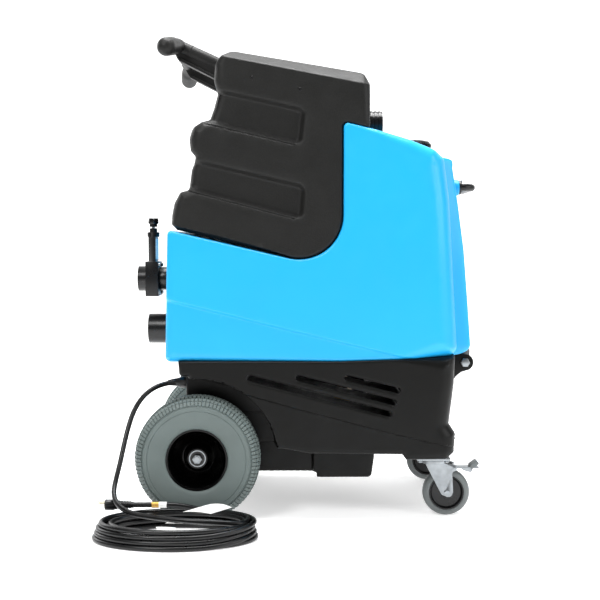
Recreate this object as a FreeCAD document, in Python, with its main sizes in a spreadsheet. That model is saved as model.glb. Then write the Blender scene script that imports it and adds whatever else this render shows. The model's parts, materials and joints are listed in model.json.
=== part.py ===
"""Carpet cleaner machine: a portable extractor on wheels, with a tilting pair of tanks.

Frame: +X points to the machine's front, +Y to its far side, +Z up. The origin is on the
floor, in the middle of the machine's length and width.
"""
import FreeCAD, Part

import math
import os
import re

Vector = FreeCAD.Vector

# Driving dimensions in millimetres: alias, value.
SIZES = {
    # mouldings
    "body_width": 480, "wall": 6, "panel_width": 350, "tank_width": 470,
    "tub_width": 480, "well_width": 340, "arch_radius": 168,
    # rear wheels
    "axle_x": -232, "wheel_radius": 131.5, "wheel_width": 85, "wheel_mid": 217.5,
    "rim_radius": 64, "rim_wall": 5, "hub_radius": 22, "hub_half": 18, "bearing_radius": 17.5,
    "bearing_length": 12, "axle_radius": 6, "axle_length": 494, "running_gap": 0.05,
    # casters
    "caster_x": 293, "caster_mid": 175, "caster_radius": 50, "caster_width": 30,
    "caster_trail": 25, "caster_core": 37, "caster_bolt": 5, "fork_gap": 40, "fork_sheet": 3,
    "pad_height": 128, "plate_sheet": 6, "king_pin": 7,
    # tilt hinge
    "pin_x": 337, "pin_height": 323, "pin_radius": 6, "ear_mid": 140, "ear_width": 12,
    "ear_radius": 18,
    # rear outlets
    "outlet_mid": -120, "outlet_height": 503, "outlet_radius": 27, "outlet_bore": 19,
    "port_height": 395, "port_radius": 32, "port_bore": 25.5, "rear_wall": -298,
    "stem_radius": 3.5,
    # recovery tank fittings
    "inlet_height": 847, "inlet_radius": 30, "inlet_bore": 25.5, "inlet_end": 167,
    "tank_front": 126, "lid_radius": 100, "lid_x": -20,
    # fill neck and handles
    "cap_x": 223, "cap_radius": 55, "cap_top": 809, "neck_radius": 46, "neck_bore": 40,
    "grip_x": -295, "grip_height": 986, "grip_radius": 19, "grip_span": 470,
    "grip_length": 52, "bar_radius": 16, "bar_ahead": 16, "bar_rise": 15,
    "arm_mid": 122, "arm_width": 30,
    "lift_height": 700, "lift_span": 180, "lift_radius": 8, "lift_reach": 367,
    # mains cord
    "cord_diameter": 10.5, "gland_mid": -150, "gland_height": 281, "gland_face": -262,
    "coil_x": -263.5, "coil_mid": -370, "coil_length": 330, "coil_depth": 204,
    "coil_band": 78, "coil_height": 40, "plug_radius": 11, "plug_mid": -303,
}

document = FreeCAD.newDocument("carpet_cleaner")
sheet = document.addObject("Spreadsheet::Sheet", "Sizes")
for row, (alias, value) in enumerate(SIZES.items(), start=1):
    sheet.set(f"B{row}", str(value))
    sheet.setAlias(f"B{row}", alias)
document.recompute()

kept = []                      # the sub-parts, in the order they are made
counter = [0]                  # numbers the helper objects


def size(alias):
    """A driving dimension, read back from the sheet."""
    return float(getattr(sheet, alias))


def formula(text):
    """Turn the aliases in a plain formula into references to the sheet."""
    def reference(match):
        word = match.group(0)
        return "Sizes." + word if word in SIZES else word
    return re.sub(r"[a-z][a-z_]*", reference, str(text))


def fresh(word):
    """A document name that no other object has."""
    counter[0] += 1
    return f"{word}_{counter[0]}"


def place(solid, x, y, z, rotation=None):
    """Set an object's Placement: its turn, and its base from formulas."""
    if rotation is not None:
        solid.Placement = FreeCAD.Placement(Vector(0, 0, 0), rotation)
    solid.setExpression("Placement.Base.x", formula(x))
    solid.setExpression("Placement.Base.y", formula(y))
    solid.setExpression("Placement.Base.z", formula(z))
    return solid


def block(x, y, z):
    """A box from three (low, high) pairs of formulas."""
    solid = document.addObject("Part::Box", fresh("block"))
    for side, (low, high) in zip(("Length", "Width", "Height"), (x, y, z)):
        solid.setExpression(side, formula(f"({high}) - ({low})"))
    return place(solid, x[0], y[0], z[0])


TURNS = {
    "X": FreeCAD.Rotation(Vector(0, 1, 0), 90),
    "Y": FreeCAD.Rotation(Vector(1, 0, 0), -90),
    "Z": FreeCAD.Rotation(),
}


def rod(axis, radius, low, high, u, v, tip=None):
    """A cylinder, or a cone with a tip radius, along one axis from low to high.

    u and v are its centre in the other two axes, in X, Y, Z order.
    """
    if tip is None:
        solid = document.addObject("Part::Cylinder", fresh("rod"))
        solid.setExpression("Radius", formula(radius))
    else:
        solid = document.addObject("Part::Cone", fresh("cone"))
        solid.setExpression("Radius1", formula(radius))
        solid.setExpression("Radius2", formula(tip))
    solid.setExpression("Height", formula(f"({high}) - ({low})"))
    base = {"X": (low, u, v), "Y": (u, low, v), "Z": (u, v, low)}[axis]
    return place(solid, *base, rotation=TURNS[axis])


def prism(axis, sides, radius, low, high, u, v):
    """A regular prism, such as a nut, along one axis."""
    solid = document.addObject("Part::Prism", fresh("prism"))
    solid.Polygon = sides
    solid.setExpression("Circumradius", formula(radius))
    solid.setExpression("Height", formula(f"({high}) - ({low})"))
    base = {"X": (low, u, v), "Y": (u, low, v), "Z": (u, v, low)}[axis]
    return place(solid, *base, rotation=TURNS[axis])


def fuse(*solids):
    """The union of several objects."""
    joined = document.addObject("Part::MultiFuse", fresh("fuse"))
    joined.Shapes = list(solids)
    return joined


def group(*solids):
    """Several separate solids in one object."""
    whole = document.addObject("Part::Compound", fresh("group"))
    whole.Links = list(solids)
    return whole


def cut(base, *tools):
    """base less each of the tools."""
    result = document.addObject("Part::Cut", fresh("cut"))
    result.Base = base
    result.Tool = tools[0] if len(tools) == 1 else fuse(*tools)
    return result


def tube(axis, radius, bore, low, high, u, v):
    """A round tube along one axis."""
    return cut(rod(axis, radius, low, high, u, v),
               rod(axis, bore, f"({low}) - 1", f"({high}) + 1", u, v))


def mirror(solid):
    """The same piece on the other side of the machine's middle plane."""
    other = document.addObject("Part::Mirroring", fresh("mirror"))
    other.Source = solid
    other.Normal = Vector(0, 1, 0)
    return other


def keep(solid, node):
    """Make an object a sub-part of the machine, named for its node."""
    solid.Label = node
    kept.append(solid)
    return solid


def side_of(before, corner, after):
    """Positive where the outline turns left at a corner."""
    return ((corner[0] - before[0]) * (after[1] - corner[1])
            - (corner[1] - before[1]) * (after[0] - corner[0]))


def inset(corners, wall):
    """Move an outline, drawn anticlockwise, inwards by a wall's thickness."""
    moved = []
    count = len(corners)
    for index, (x, z, radius) in enumerate(corners):
        before, after = corners[index - 1], corners[(index + 1) % count]
        into = Vector(x - before[0], z - before[1], 0).normalize()
        away = Vector(after[0] - x, after[1] - z, 0).normalize()
        normal_in = Vector(-into.y, into.x, 0)
        normal_out = Vector(-away.y, away.x, 0)
        reach = wall / (1 + normal_in.dot(normal_out))
        shift = (normal_in + normal_out) * reach
        left = side_of(before, (x, z), after) > 0
        inner = max(radius - wall, 0) if left else radius + wall
        moved.append((x + shift.x, z + shift.y, inner if radius else 0))
    return moved


def rounded(corners):
    """Lines and arcs of a closed outline of (x, z, corner radius) points."""
    count = len(corners)
    points = [Vector(x, z, 0) for x, z, _ in corners]
    ends = []
    for index, (x, z, radius) in enumerate(corners):
        corner = points[index]
        back = (points[index - 1] - corner).normalize()
        ahead = (points[(index + 1) % count] - corner).normalize()
        half = back.getAngle(ahead) / 2
        reach = radius / math.tan(half) if radius else 0
        middle = corner
        if radius:
            inward = (back + ahead).normalize()
            middle = corner + inward * (radius / math.sin(half) - radius)
        ends.append((corner + back * reach, middle, corner + ahead * reach, radius))
    pieces = []
    for index, (start, middle, finish, radius) in enumerate(ends):
        if radius:
            pieces.append(Part.Arc(start, middle, finish))
        following = ends[(index + 1) % count][0]
        if finish.distanceToPoint(following) > 1e-6:
            pieces.append(Part.LineSegment(finish, following))
    return pieces


def profile(corners, width, middle="0", soft=0):
    """A body of one side outline, padded evenly about its middle plane.

    soft is the radius that rounds the rims of its two side faces.
    """
    body = document.addObject("PartDesign::Body", fresh("body"))
    plane = [item for item in body.Origin.OriginFeatures if item.Role == "XZ_Plane"][0]
    sketch = body.newObject("Sketcher::SketchObject", fresh("outline"))
    sketch.AttachmentSupport = [(plane, "")]
    sketch.MapMode = "FlatFace"
    for piece in rounded(corners):
        sketch.addGeometry(piece, False)
    pad = body.newObject("PartDesign::Pad", fresh("pad"))
    pad.Profile = sketch
    pad.SideType = "Symmetric"
    pad.setExpression("Length", formula(width))
    if soft:
        document.recompute()
        rims = [f"Edge{index + 1}" for index, edge in enumerate(pad.Shape.Edges)
                if edge.BoundBox.YLength < 1e-6]
        round_off = body.newObject("PartDesign::Fillet", fresh("round"))
        round_off.Base = (pad, rims)
        round_off.Radius = soft
        body.Tip = round_off
    body.setExpression("Placement.Base.y", formula(middle))
    return body


# ---- base tub ---------------------------------------------------------------------------

SKIRT = [
    (-271, 337.4, 0), (-269, 313, 4), (-256, 299, 4), (-250, 152, 0), (-56, 152, 6),
    (4, 141, 20), (195, 139, 4), (203, 128, 3), (287, 128, 6), (305, 141, 8), (307, 182, 8),
    (294, 202, 6), (304, 284, 12), (306, 348, 0), (188, 341.4, 0), (64, 337.4, 0),
]
WELL = [
    (-263, 320, 0), (-258, 88, 18), (17, 88, 0), (17, 77, 0), (135, 77, 8), (141, 122, 4),
    (141, 320, 0),
]
SLOTS = [((-127, 301), (173, 224)), ((-25, 301), (182, 248)), ((76, 301), (188, 273))]
SLOT_HEIGHT = 10


def arches(grown):
    """The round spaces that the rear wheels stand in, grown by a wall."""
    radius = f"arch_radius + {grown}"
    inner = f"well_width / 2 - {grown}"
    near = rod("Y", radius, "-tub_width", f"-({inner})", "axle_x", "wheel_radius")
    far = rod("Y", radius, inner, "tub_width", "axle_x", "wheel_radius")
    return near, far


def slot(ends):
    """A slanted cooling slot, cut right across the machine."""
    (x_low, z_low), (x_high, z_high) = ends
    length = math.hypot(x_high - x_low, z_high - z_low)
    slant = math.degrees(math.atan2(z_high - z_low, x_high - x_low))
    solid = document.addObject("Part::Box", fresh("slot"))
    solid.Length = length
    solid.Height = SLOT_HEIGHT
    solid.setExpression("Width", formula("tub_width + 20"))
    turn = FreeCAD.Rotation(Vector(0, 1, 0), -slant)
    return place(solid, x_low, "-tub_width / 2 - 10", z_low - SLOT_HEIGHT / 2, rotation=turn)


def ears():
    """The two lugs on the front wall that hold the tilt hinge's bolts."""
    web = [(300, 340, 0), (300, 250, 0), (318, 262, 20), (352, 312, 6), (337, 341, 6)]
    near = fuse(profile(web, "ear_width", "-ear_mid"),
                rod("Y", "ear_radius", "-ear_mid - ear_width / 2",
                    "-ear_mid + ear_width / 2", "pin_x", "pin_height"))
    return near, mirror(near)


def make_base_tub():
    """The black lower moulding: skirt, wheel arches, sunk wells, slots and hinge lugs."""
    wall = size("wall")
    outer = fuse(cut(profile(SKIRT, "tub_width"), *arches(0)), profile(WELL, "well_width"))
    skirt_hollow = inset(SKIRT, wall)
    skirt_hollow[0] = (skirt_hollow[0][0], 360, 0)
    skirt_hollow[-3:] = [(300, 360, 0)]
    well_hollow = inset(WELL, wall)
    well_hollow[0] = (well_hollow[0][0], 330, 0)
    well_hollow[-1] = (well_hollow[-1][0], 330, 0)
    hollow = fuse(cut(profile(skirt_hollow, "tub_width - 2 * wall"), *arches(wall)),
                  profile(well_hollow, "well_width - 2 * wall"))
    shell = cut(outer, hollow, *[slot(ends) for ends in SLOTS])
    near_ear, far_ear = ears()
    whole = fuse(shell, near_ear, far_ear)
    pin_holes = rod("Y", "pin_radius", "-tub_width / 2", "tub_width / 2", "pin_x", "pin_height")
    axle_hole = rod("Y", "axle_radius + 0.3", "-tub_width / 2", "tub_width / 2",
                    "axle_x", "wheel_radius")
    cord_hole = rod("X", 6, "gland_face - 10", "gland_face + 20", "gland_mid", "gland_height")
    return keep(cut(whole, pin_holes, axle_hole, cord_hole), "base_tub")


def hinge_bolts():
    """A zinc bolt through each hinge lug, with its head outside."""
    inner, outer = "ear_mid - 24", "ear_mid + ear_width / 2"
    shank = rod("Y", "pin_radius", inner, outer, "pin_x", "pin_height")
    head = prism("Y", 6, "pin_radius * 1.7", outer, f"{outer} + 5", "pin_x", "pin_height")
    far = fuse(shank, head)
    return [far, mirror(far)]


# ---- rear axle and wheels -----------------------------------------------------------------

def make_axle():
    """The axle, its lock nuts and the plates that carry it inside the tub."""
    centre = ("axle_x", "wheel_radius")
    axle = rod("Y", "axle_radius", "-axle_length / 2", "axle_length / 2", *centre)
    keep(axle, "rear_axle")
    nut = cut(prism("Y", 6, 10, "axle_length / 2 - 10.5", "axle_length / 2 - 2.5", *centre),
              rod("Y", "axle_radius", "0", "axle_length", *centre))
    spacer = tube("Y", 11, "axle_radius", "well_width / 2 + 0.3", "wheel_mid - hub_half - 1",
                  *centre)
    keep(group(nut, mirror(nut), spacer, mirror(spacer)), "axle_nuts_and_spacers")
    plate = cut(block(("axle_x - 18", "axle_x + 60"),
                      ("well_width / 2 - wall - 4", "well_width / 2 - wall"),
                      ("wheel_radius - 28", "wheel_radius + 40")),
                rod("Y", "axle_radius", "0", "axle_length", *centre))
    keep(group(plate, mirror(plate)), "axle_brackets")


def make_wheel(side, sign):
    """One rear wheel: tyre, dished rim with its hub, and two bearings."""
    middle = f"{sign} * wheel_mid"
    centre = ("axle_x", "wheel_radius")
    low, high = f"{middle} - wheel_width / 2", f"{middle} + wheel_width / 2"
    blank = rod("Y", "wheel_radius", low, high, *centre)
    document.recompute()
    shoulder = document.addObject("Part::Fillet", fresh("shoulder"))
    shoulder.Base = blank
    rims = [index + 1 for index, edge in enumerate(blank.Shape.Edges)
            if edge.BoundBox.YLength < 1e-6]
    shoulder.Edges = [(index, 26, 26) for index in rims]
    tyre = cut(shoulder, rod("Y", "rim_radius", f"{low} - 1", f"{high} + 1", *centre))
    keep(tyre, f"rear_tyre_{side}")
    web = f"{middle} + {sign} * 8"
    barrel = tube("Y", "rim_radius", "rim_radius - rim_wall", f"{middle} - 36",
                  f"{middle} + 36", *centre)
    dish = rod("Y", "rim_radius - 1", f"{web} - 3", f"{web} + 3", *centre)
    hub = rod("Y", "hub_radius", f"{middle} - hub_half", f"{middle} + hub_half", *centre)
    bore = rod("Y", "bearing_radius", f"{low}", f"{high}", *centre)
    keep(cut(fuse(barrel, dish, hub), bore), f"rear_rim_{side}")
    rings = [tube("Y", "bearing_radius", "axle_radius + running_gap",
                  f"{middle} + {offset} - bearing_length / 2",
                  f"{middle} + {offset} + bearing_length / 2", *centre)
             for offset in (-12, 12)]
    keep(group(*rings), f"wheel_bearings_{side}")


# ---- casters --------------------------------------------------------------------------------

def make_caster(side, sign):
    """One braked front caster: fork, wheel, core, pedal and its rubber tread."""
    middle = f"{sign} * caster_mid"
    swivel = "caster_x - caster_trail"
    plate_low = "pad_height - plate_sheet"
    race_top = f"{plate_low} - 0.3"
    race = rod("Z", 29, f"{race_top} - 9", race_top, swivel, middle)
    leg_outline = [(248, 114, 0), (258, 92, 12), (282, 46, 8), (302, 40, 8), (306, 52, 8),
                   (304, 96, 6), (314, 98, 4), (314, 109, 4), (290, 114, 0)]
    legs = [profile(leg_outline, "fork_sheet", f"{middle} + {way} * (fork_gap / 2)")
            for way in (-1, 1)]
    crown = block((248, 290), (f"{middle} - fork_gap / 2", f"{middle} + fork_gap / 2"),
                  (f"{race_top} - 10", f"{race_top} - 6"))
    bolt = rod("Y", "caster_bolt", f"{middle} - fork_gap / 2 - 6",
               f"{middle} + fork_gap / 2 + 6", "caster_x", "caster_radius")
    rivet = rod("Y", 3, f"{middle} - fork_gap / 2 - 3", f"{middle} + fork_gap / 2 + 3",
                309, 103.5)
    socket = rod("Z", "king_pin + running_gap", 0, 140, swivel, middle)
    frame = cut(fuse(race, crown, *legs), socket)
    keep(fuse(frame, bolt, rivet), f"caster_fork_{side}")
    half = "caster_width / 2"
    centre = ("caster_x", "caster_radius")
    keep(tube("Y", "caster_radius", "caster_core", f"{middle} - {half}",
              f"{middle} + {half}", *centre), f"caster_tyre_{side}")
    core = tube("Y", "caster_core", "caster_bolt + running_gap", f"{middle} - {half} - 1",
                f"{middle} + {half} + 1", *centre)
    keep(core, f"caster_core_{side}")
    pedal = cut(fuse(block((303, 362), (f"{middle} - 13", f"{middle} + 13"), (101, 104)),
                     rod("Y", 5, f"{middle} - 13", f"{middle} + 13", 309, 103.5)),
                rod("Y", "3 + running_gap", f"{middle} - 30", f"{middle} + 30", 309, 103.5))
    keep(pedal, f"brake_pedal_{side}")
    keep(block((342, 364), (f"{middle} - 15", f"{middle} + 15"), (104, 116)),
         f"pedal_pad_{side}")


def make_caster_plates():
    """The casters' top plates with their king pins, and the tub's screws and bolts."""
    swivel = "caster_x - caster_trail"
    low = "pad_height - plate_sheet"
    plate = block((f"{swivel} - 40", f"{swivel} + 30"),
                  ("caster_mid - 38", "caster_mid + 38"), (low, "pad_height"))
    pin = rod("Z", "king_pin", f"{low} - 9", f"{low} + 1", swivel, "caster_mid")
    far = fuse(plate, pin)
    keep(group(far, mirror(far)), "caster_plates")
    heads = [prism("Z", 6, 6, f"{low} - 4", low, f"{swivel} + {along}",
                   f"caster_mid + {across}")
             for along in (-33, 23) for across in (-31, 31)]
    screws = heads + [mirror(head) for head in heads]
    keep(group(*screws, *hinge_bolts()), "base_bolts")


# ---- inside the base --------------------------------------------------------------------------

def make_insides():
    """The motors, pump, heater and wiring that the tub holds."""
    floor, motor_y = 94, -78
    fan_top, can_top, cap_top = floor + 82, floor + 156, floor + 166
    for name, x in (("rear", -150), ("front", -10)):
        fan = rod("Z", 68, floor, fan_top, x, motor_y)
        can = rod("Z", 44, fan_top, can_top, x, motor_y)
        cap = rod("Z", 20, can_top, cap_top, x, motor_y)
        keep(fuse(fan, can, cap), f"vacuum_motor_{name}")
    pump_y, pump_z, head_x, head_top = 92, 200, 60, 234
    motor = rod("X", 42, -100, head_x, pump_y, pump_z)
    keep(fuse(motor, block((-60, 15), (pump_y - 32, pump_y + 32), (floor, 170))),
         "solution_pump")
    ports = [rod("Z", 12, head_top, head_top + 28, head_x + 22, pump_y + way)
             for way in (-16, 16)]
    keep(fuse(block((head_x, head_x + 44), (pump_y - 34, pump_y + 34), (166, head_top)),
              *ports), "pump_head")
    heater_top = 196
    heater = block((160, 282), (-110, 110), (heater_top - 50, heater_top))
    keep(fuse(heater, rod("X", 10, 282, 296, -60, heater_top - 25)), "inline_heater")
    keep(block((170, 270), (-90, 90), (heater_top, heater_top + 66)), "wiring_box")
    coupler = (60, 205)
    stub = fuse(rod("X", 9, -300, -259.5, *coupler), prism("X", 6, 13, -284, -268, *coupler))
    keep(cut(stub, rod("X", 5, -301, -270, *coupler)), "solution_quick_coupler")


def make_cord_gland():
    """The nut and dome where the mains cord leaves the rear wall."""
    centre = ("gland_mid", "gland_height")
    nut = prism("X", 6, 12.5, "gland_face - 13", "gland_face", *centre)
    dome = rod("X", 8, "gland_face - 25", "gland_face - 13", *centre, tip=11)
    keep(fuse(nut, dome), "cord_gland")


# ---- solution tank -------------------------------------------------------------------------------

NEST_ARC = 92
TANK = [
    (-300, 338, 14), (64, 338, 0), (188, 342, 0), (312, 349, 22), (293, 669, 200),
    (281, 754, 10), (256, 770, 60), (204, 790, 90), (137, 808, 60), (71.5, 824, 12),
    (71.5, 521.4, NEST_ARC), (-292, 606, 10),
]
PANEL = [
    (250, 351, 0), (345, 351, 8), (338, 458, 0), (329, 565, 0), (315, 671, 0), (302, 752, 12),
    (250, 766, 0),
]
BAY = {"x": 22, "low_y": 10, "high_y": 190, "low_z": 430, "high_z": 560}


def make_solution_tank():
    """The blue tank: a hollow moulding with a proud front panel and a nest on top."""
    wall = size("wall")
    outer = fuse(profile(TANK, "body_width", soft=14), profile(PANEL, "panel_width", soft=9))
    inner_tank = profile(inset(TANK, wall), "body_width - 2 * wall", soft=8)
    panel_hollow = [(252, 360, 0), (338, 360, 0), (332, 458, 0), (323, 565, 0), (309, 671, 0),
                    (298, 735, 0), (252, 735, 0)]
    inner_panel = profile(panel_hollow, "panel_width - 2 * wall")
    bay = block(("rear_wall - 10", f"rear_wall + {BAY['x']}"),
                (BAY["low_y"], BAY["high_y"]), (BAY["low_z"], BAY["high_z"]))
    bay_skin = block(("rear_wall - 10", f"rear_wall + {BAY['x']} + wall"),
                     (f"{BAY['low_y']} - wall", f"{BAY['high_y']} + wall"),
                     (f"{BAY['low_z']} - wall", f"{BAY['high_z']} + wall"))
    cap_seat = rod("Z", "cap_radius + 2.5", 790, 850, "cap_x", 0)
    cap_skin = rod("Z", "cap_radius + 8.5", 784, 850, "cap_x", 0)
    hollow = cut(fuse(inner_tank, inner_panel), bay_skin, cap_skin)
    shell = cut(outer, hollow, bay, cap_seat)
    bosses = [cut(rod("X", 17, 300, 328, f"{way} * lift_span / 2", "lift_height + 4"),
                  hollow) for way in (-1, 1)]
    neck_hole = rod("Z", "neck_radius", 740, 830, "cap_x", 0)
    drain_hole = rod("X", "outlet_bore + 1.5", "rear_wall - 10", "rear_wall + 20",
                     "outlet_mid", "outlet_height")
    port_hole = rod("X", "port_bore + 1.5", "rear_wall - 10", "rear_wall + 20",
                    "outlet_mid", "port_height")
    keep(cut(fuse(shell, *bosses), neck_hole, drain_hole, port_hole), "solution_tank")
    return outer


def make_hinge_brackets():
    """Steel angles under the tank's front edge that turn on the hinge bolts."""
    low, high = "ear_mid - 16", "ear_mid - 10"
    web = profile([(325, 351, 0), (325, 318, 8), (349, 318, 8), (349, 351, 0)],
                  "6", "ear_mid - 13")
    foot = block((320, 345), ("ear_mid - 36", high), (347, 351))
    eye = rod("Y", 14, low, high, "pin_x", "pin_height")
    bore = rod("Y", "pin_radius + running_gap", "0", "ear_mid", "pin_x", "pin_height")
    far = cut(fuse(web, foot, eye), bore)
    keep(group(far, mirror(far)), "hinge_brackets")


def make_fill_neck():
    """The threaded filler on the sloping top, and its lift-off cap."""
    keep(tube("Z", "neck_radius", "neck_bore", 762, 799, "cap_x", 0), "fill_neck")
    cap = cut(rod("Z", "cap_radius", "cap_top - 17", "cap_top", "cap_x", 0),
              rod("Z", "neck_radius + 0.5", "cap_top - 18", "cap_top - 7", "cap_x", 0))
    keep(cap, "fill_cap")


def make_front_handle():
    """The bridge handle on the front panel; returns the screws in its flanges."""
    half, height = size("lift_span") / 2, size("lift_height")
    radius, reach = size("lift_radius"), size("lift_reach") - size("lift_radius")
    bend = 22
    foot = 330
    path = bent_path([Vector(foot, -half, height), Vector(reach, -half, height),
                      Vector(reach, half, height), Vector(foot, half, height)], [bend, bend])
    bar = document.addObject("Part::Feature", fresh("bar"))
    bar.Shape = pipe(path, radius)
    flanges = [rod("X", 15, 328, 333, f"{way} * lift_span / 2", "lift_height + 4")
               for way in (-1, 1)]
    keep(fuse(bar, *flanges), "front_handle")
    return [rod("X", 4, 333, 336, f"{way} * lift_span / 2", "lift_height + 14")
            for way in (-1, 1)]


# ---- free lengths: bent rods and the cord -----------------------------------------------------

def bent_path(points, radii):
    """Straight runs joined by tangent arcs, one radius for each inner point."""
    edges = []
    start = points[0]
    for before, corner, after, radius in zip(points, points[1:], points[2:], radii):
        back = (before - corner).normalize()
        ahead = (after - corner).normalize()
        half = back.getAngle(ahead) / 2
        reach = radius / math.tan(half)
        inward = (back + ahead).normalize()
        middle = corner + inward * (radius / math.sin(half) - radius)
        first, last = corner + back * reach, corner + ahead * reach
        edges.append(Part.LineSegment(start, first).toShape())
        edges.append(Part.Arc(first, middle, last).toShape())
        start = last
    edges.append(Part.LineSegment(start, points[-1]).toShape())
    return Part.Wire(edges)


def pipe(path, radius):
    """A round solid along a path of lines and arcs."""
    first = path.OrderedEdges[0]
    start = first.valueAt(first.FirstParameter)
    heading = first.tangentAt(first.FirstParameter)
    ring = Part.Wire(Part.makeCircle(radius, start, heading))
    return path.makePipeShell([ring], True, True)


CORD_ROUTE = [
    (-287, -150, 281), (-307, -155, 279), (-331, -166, 271), (-353, -183, 254),
    (-369, -203, 227), (-378, -222, 194), (-384, -241, 160), (-389, -260, 127),
    (-394, -281, 99), (-396, -304, 77), (-387, -329, 62), (-369, -349, 52),
    (-345, -361, 44),
]


def make_cord():
    """The mains cord's free drop, its loose coil, its plug and the blank tags on it."""
    points = [Vector(*point) for point in CORD_ROUTE]
    radii = []
    for before, corner, after in zip(points, points[1:], points[2:]):
        turn = (corner - before).getAngle(after - corner)
        shorter = min(corner.distanceToPoint(before), corner.distanceToPoint(after))
        radii.append(0.45 * shorter / math.tan(turn / 2))
    print("cord arc radii:", [round(radius) for radius in radii])
    path = bent_path(points, radii)
    drop = document.addObject("Part::Feature", fresh("drop"))
    drop.Shape = pipe(path, size("cord_diameter") / 2)
    section = math.pi * size("cord_diameter") ** 2 / 4
    print("cord volume over section x length:", drop.Shape.Volume / (section * path.Length))
    keep(drop, "power_cord_drop")

    long_half, deep_half = size("coil_length") / 2, size("coil_depth") / 2
    band = size("coil_band")
    centre = Vector(size("coil_x"), size("coil_mid"), 0)
    faces = [Part.Face(Part.Wire(Part.Ellipse(centre, long_half - less, deep_half - less)
                                 .toShape())) for less in (0, band)]
    coil = document.addObject("Part::Feature", fresh("coil"))
    ring = faces[0].cut(faces[1]).extrude(Vector(0, 0, size("coil_height")))
    coil.Shape = ring.Solids[0]
    keep(coil, "cord_coil")

    height = "coil_height + plug_radius"
    keep(fuse(rod("X", "plug_radius", -413, -394, "plug_mid", height),
              rod("X", 9, -394, -354, "plug_mid", height, tip=6)), "plug_body")
    blade = block((-429, -413), ("plug_mid - 7", "plug_mid - 5.4"),
                  (f"{height} - 3.2", f"{height} + 3.2"))
    other = block((-429, -413), ("plug_mid + 5.4", "plug_mid + 7"),
                  (f"{height} - 3.2", f"{height} + 3.2"))
    earth = rod("X", 2.4, -429, -413, "plug_mid", f"{height} + 7")
    keep(group(blade, other, earth), "plug_prongs")
    tags = []
    for x, y, turn in ((-246, -334, 6), (-288, -388, -8), (-205, -430, 10)):
        tag = document.addObject("Part::Box", fresh("tag"))
        tag.Length, tag.Width, tag.Height = 58, 1.2, 26
        lean = FreeCAD.Rotation(Vector(0, 0, 1), turn) * FreeCAD.Rotation(Vector(1, 0, 0), -38)
        tags.append(place(tag, x, y, "coil_height + 0.8", rotation=lean))
    keep(group(*tags), "cord_tags")


# ---- recovery tank ------------------------------------------------------------------------------

RECOVERY = [
    (-284, 606, 14), (69.5, 523.6, 90), (69.5, 829, 0), (126, 814.5, 6), (126, 928, 26),
    (-172, 979, 34), (-206, 838, 10), (-249, 808, 20), (-250, 693, 8), (-285, 677, 20),
]


def tilted_disc(radius, below, above, along):
    """A disc square to the recovery tank's sloping top."""
    fall = math.degrees(math.atan2(979 - 928, 126 + 172))
    turn = FreeCAD.Rotation(Vector(0, 1, 0), fall)
    top = 928 + (126 - along) * math.tan(math.radians(fall))
    centre = Vector(along, 0, top)
    solid = document.addObject("Part::Cylinder", fresh("disc"))
    solid.setExpression("Radius", formula(radius))
    solid.Height = above - below
    base = centre + turn.multVec(Vector(0, 0, below))
    solid.Placement = FreeCAD.Placement(base, turn)
    return solid


def make_recovery_tank():
    """The black upper tank: a hollow moulding that sits in the nest."""
    wall = size("wall")
    outer = profile(RECOVERY, "tank_width", soft=12)
    hollow = profile(inset(RECOVERY, wall), "tank_width - 2 * wall", soft=7)
    lid_x = size("lid_x")
    mouth = tilted_disc("lid_radius - 12", -30, 20, lid_x)
    seat = tilted_disc("lid_radius + 1", -3, 20, lid_x)
    inlet_hole = rod("X", "inlet_radius - 2", "tank_front - 20", "tank_front + 5", 0,
                     "inlet_height")
    keep(cut(outer, hollow, mouth, seat, inlet_hole), "recovery_tank")
    lid = fuse(tilted_disc("lid_radius", -2.7, 0, lid_x),
               tilted_disc("lid_radius - 13", -12, -2.7, lid_x))
    keep(lid, "recovery_lid")
    return outer


def make_inlet():
    """The hose spigot on the upper tank's front."""
    tube_part = tube("X", "inlet_radius", "inlet_bore", "tank_front", "inlet_end", 0,
                     "inlet_height")
    tail = tube("X", "inlet_radius - 2", "inlet_bore", "tank_front - 14", "tank_front", 0,
                "inlet_height")
    keep(fuse(tube_part, tail), "vacuum_inlet_spigot")


def make_standpipe():
    """The suction standpipe inside the upper tank, its float cage and its float."""
    x, y = -120, 60
    foot, seat, cage_top = 575, 858, 920
    outside, inside, cage_radius = 26, 22, 30
    pipe_wall = tube("Z", outside, inside, foot, seat, x, y)
    bars = [rod("Z", 2, seat, cage_top, x + cage_radius * math.cos(turn),
                y + cage_radius * math.sin(turn))
            for turn in [math.radians(45 + 90 * step) for step in range(4)]]
    collar = tube("Z", 33, 25, seat - 8, seat, x, y)
    ring = tube("Z", 33, inside, cage_top, cage_top + 3, x, y)
    keep(fuse(pipe_wall, collar, ring, *bars), "standpipe")
    keep(rod("Z", 27, seat + 2, seat + 30, x, y), "shut_off_float")


ARM = [
    (-280, 969, 20), (-165, 912, 0), (-165, 964, 0), (-283, 1018, 14), (-299, 1000, 14),
]


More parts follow.
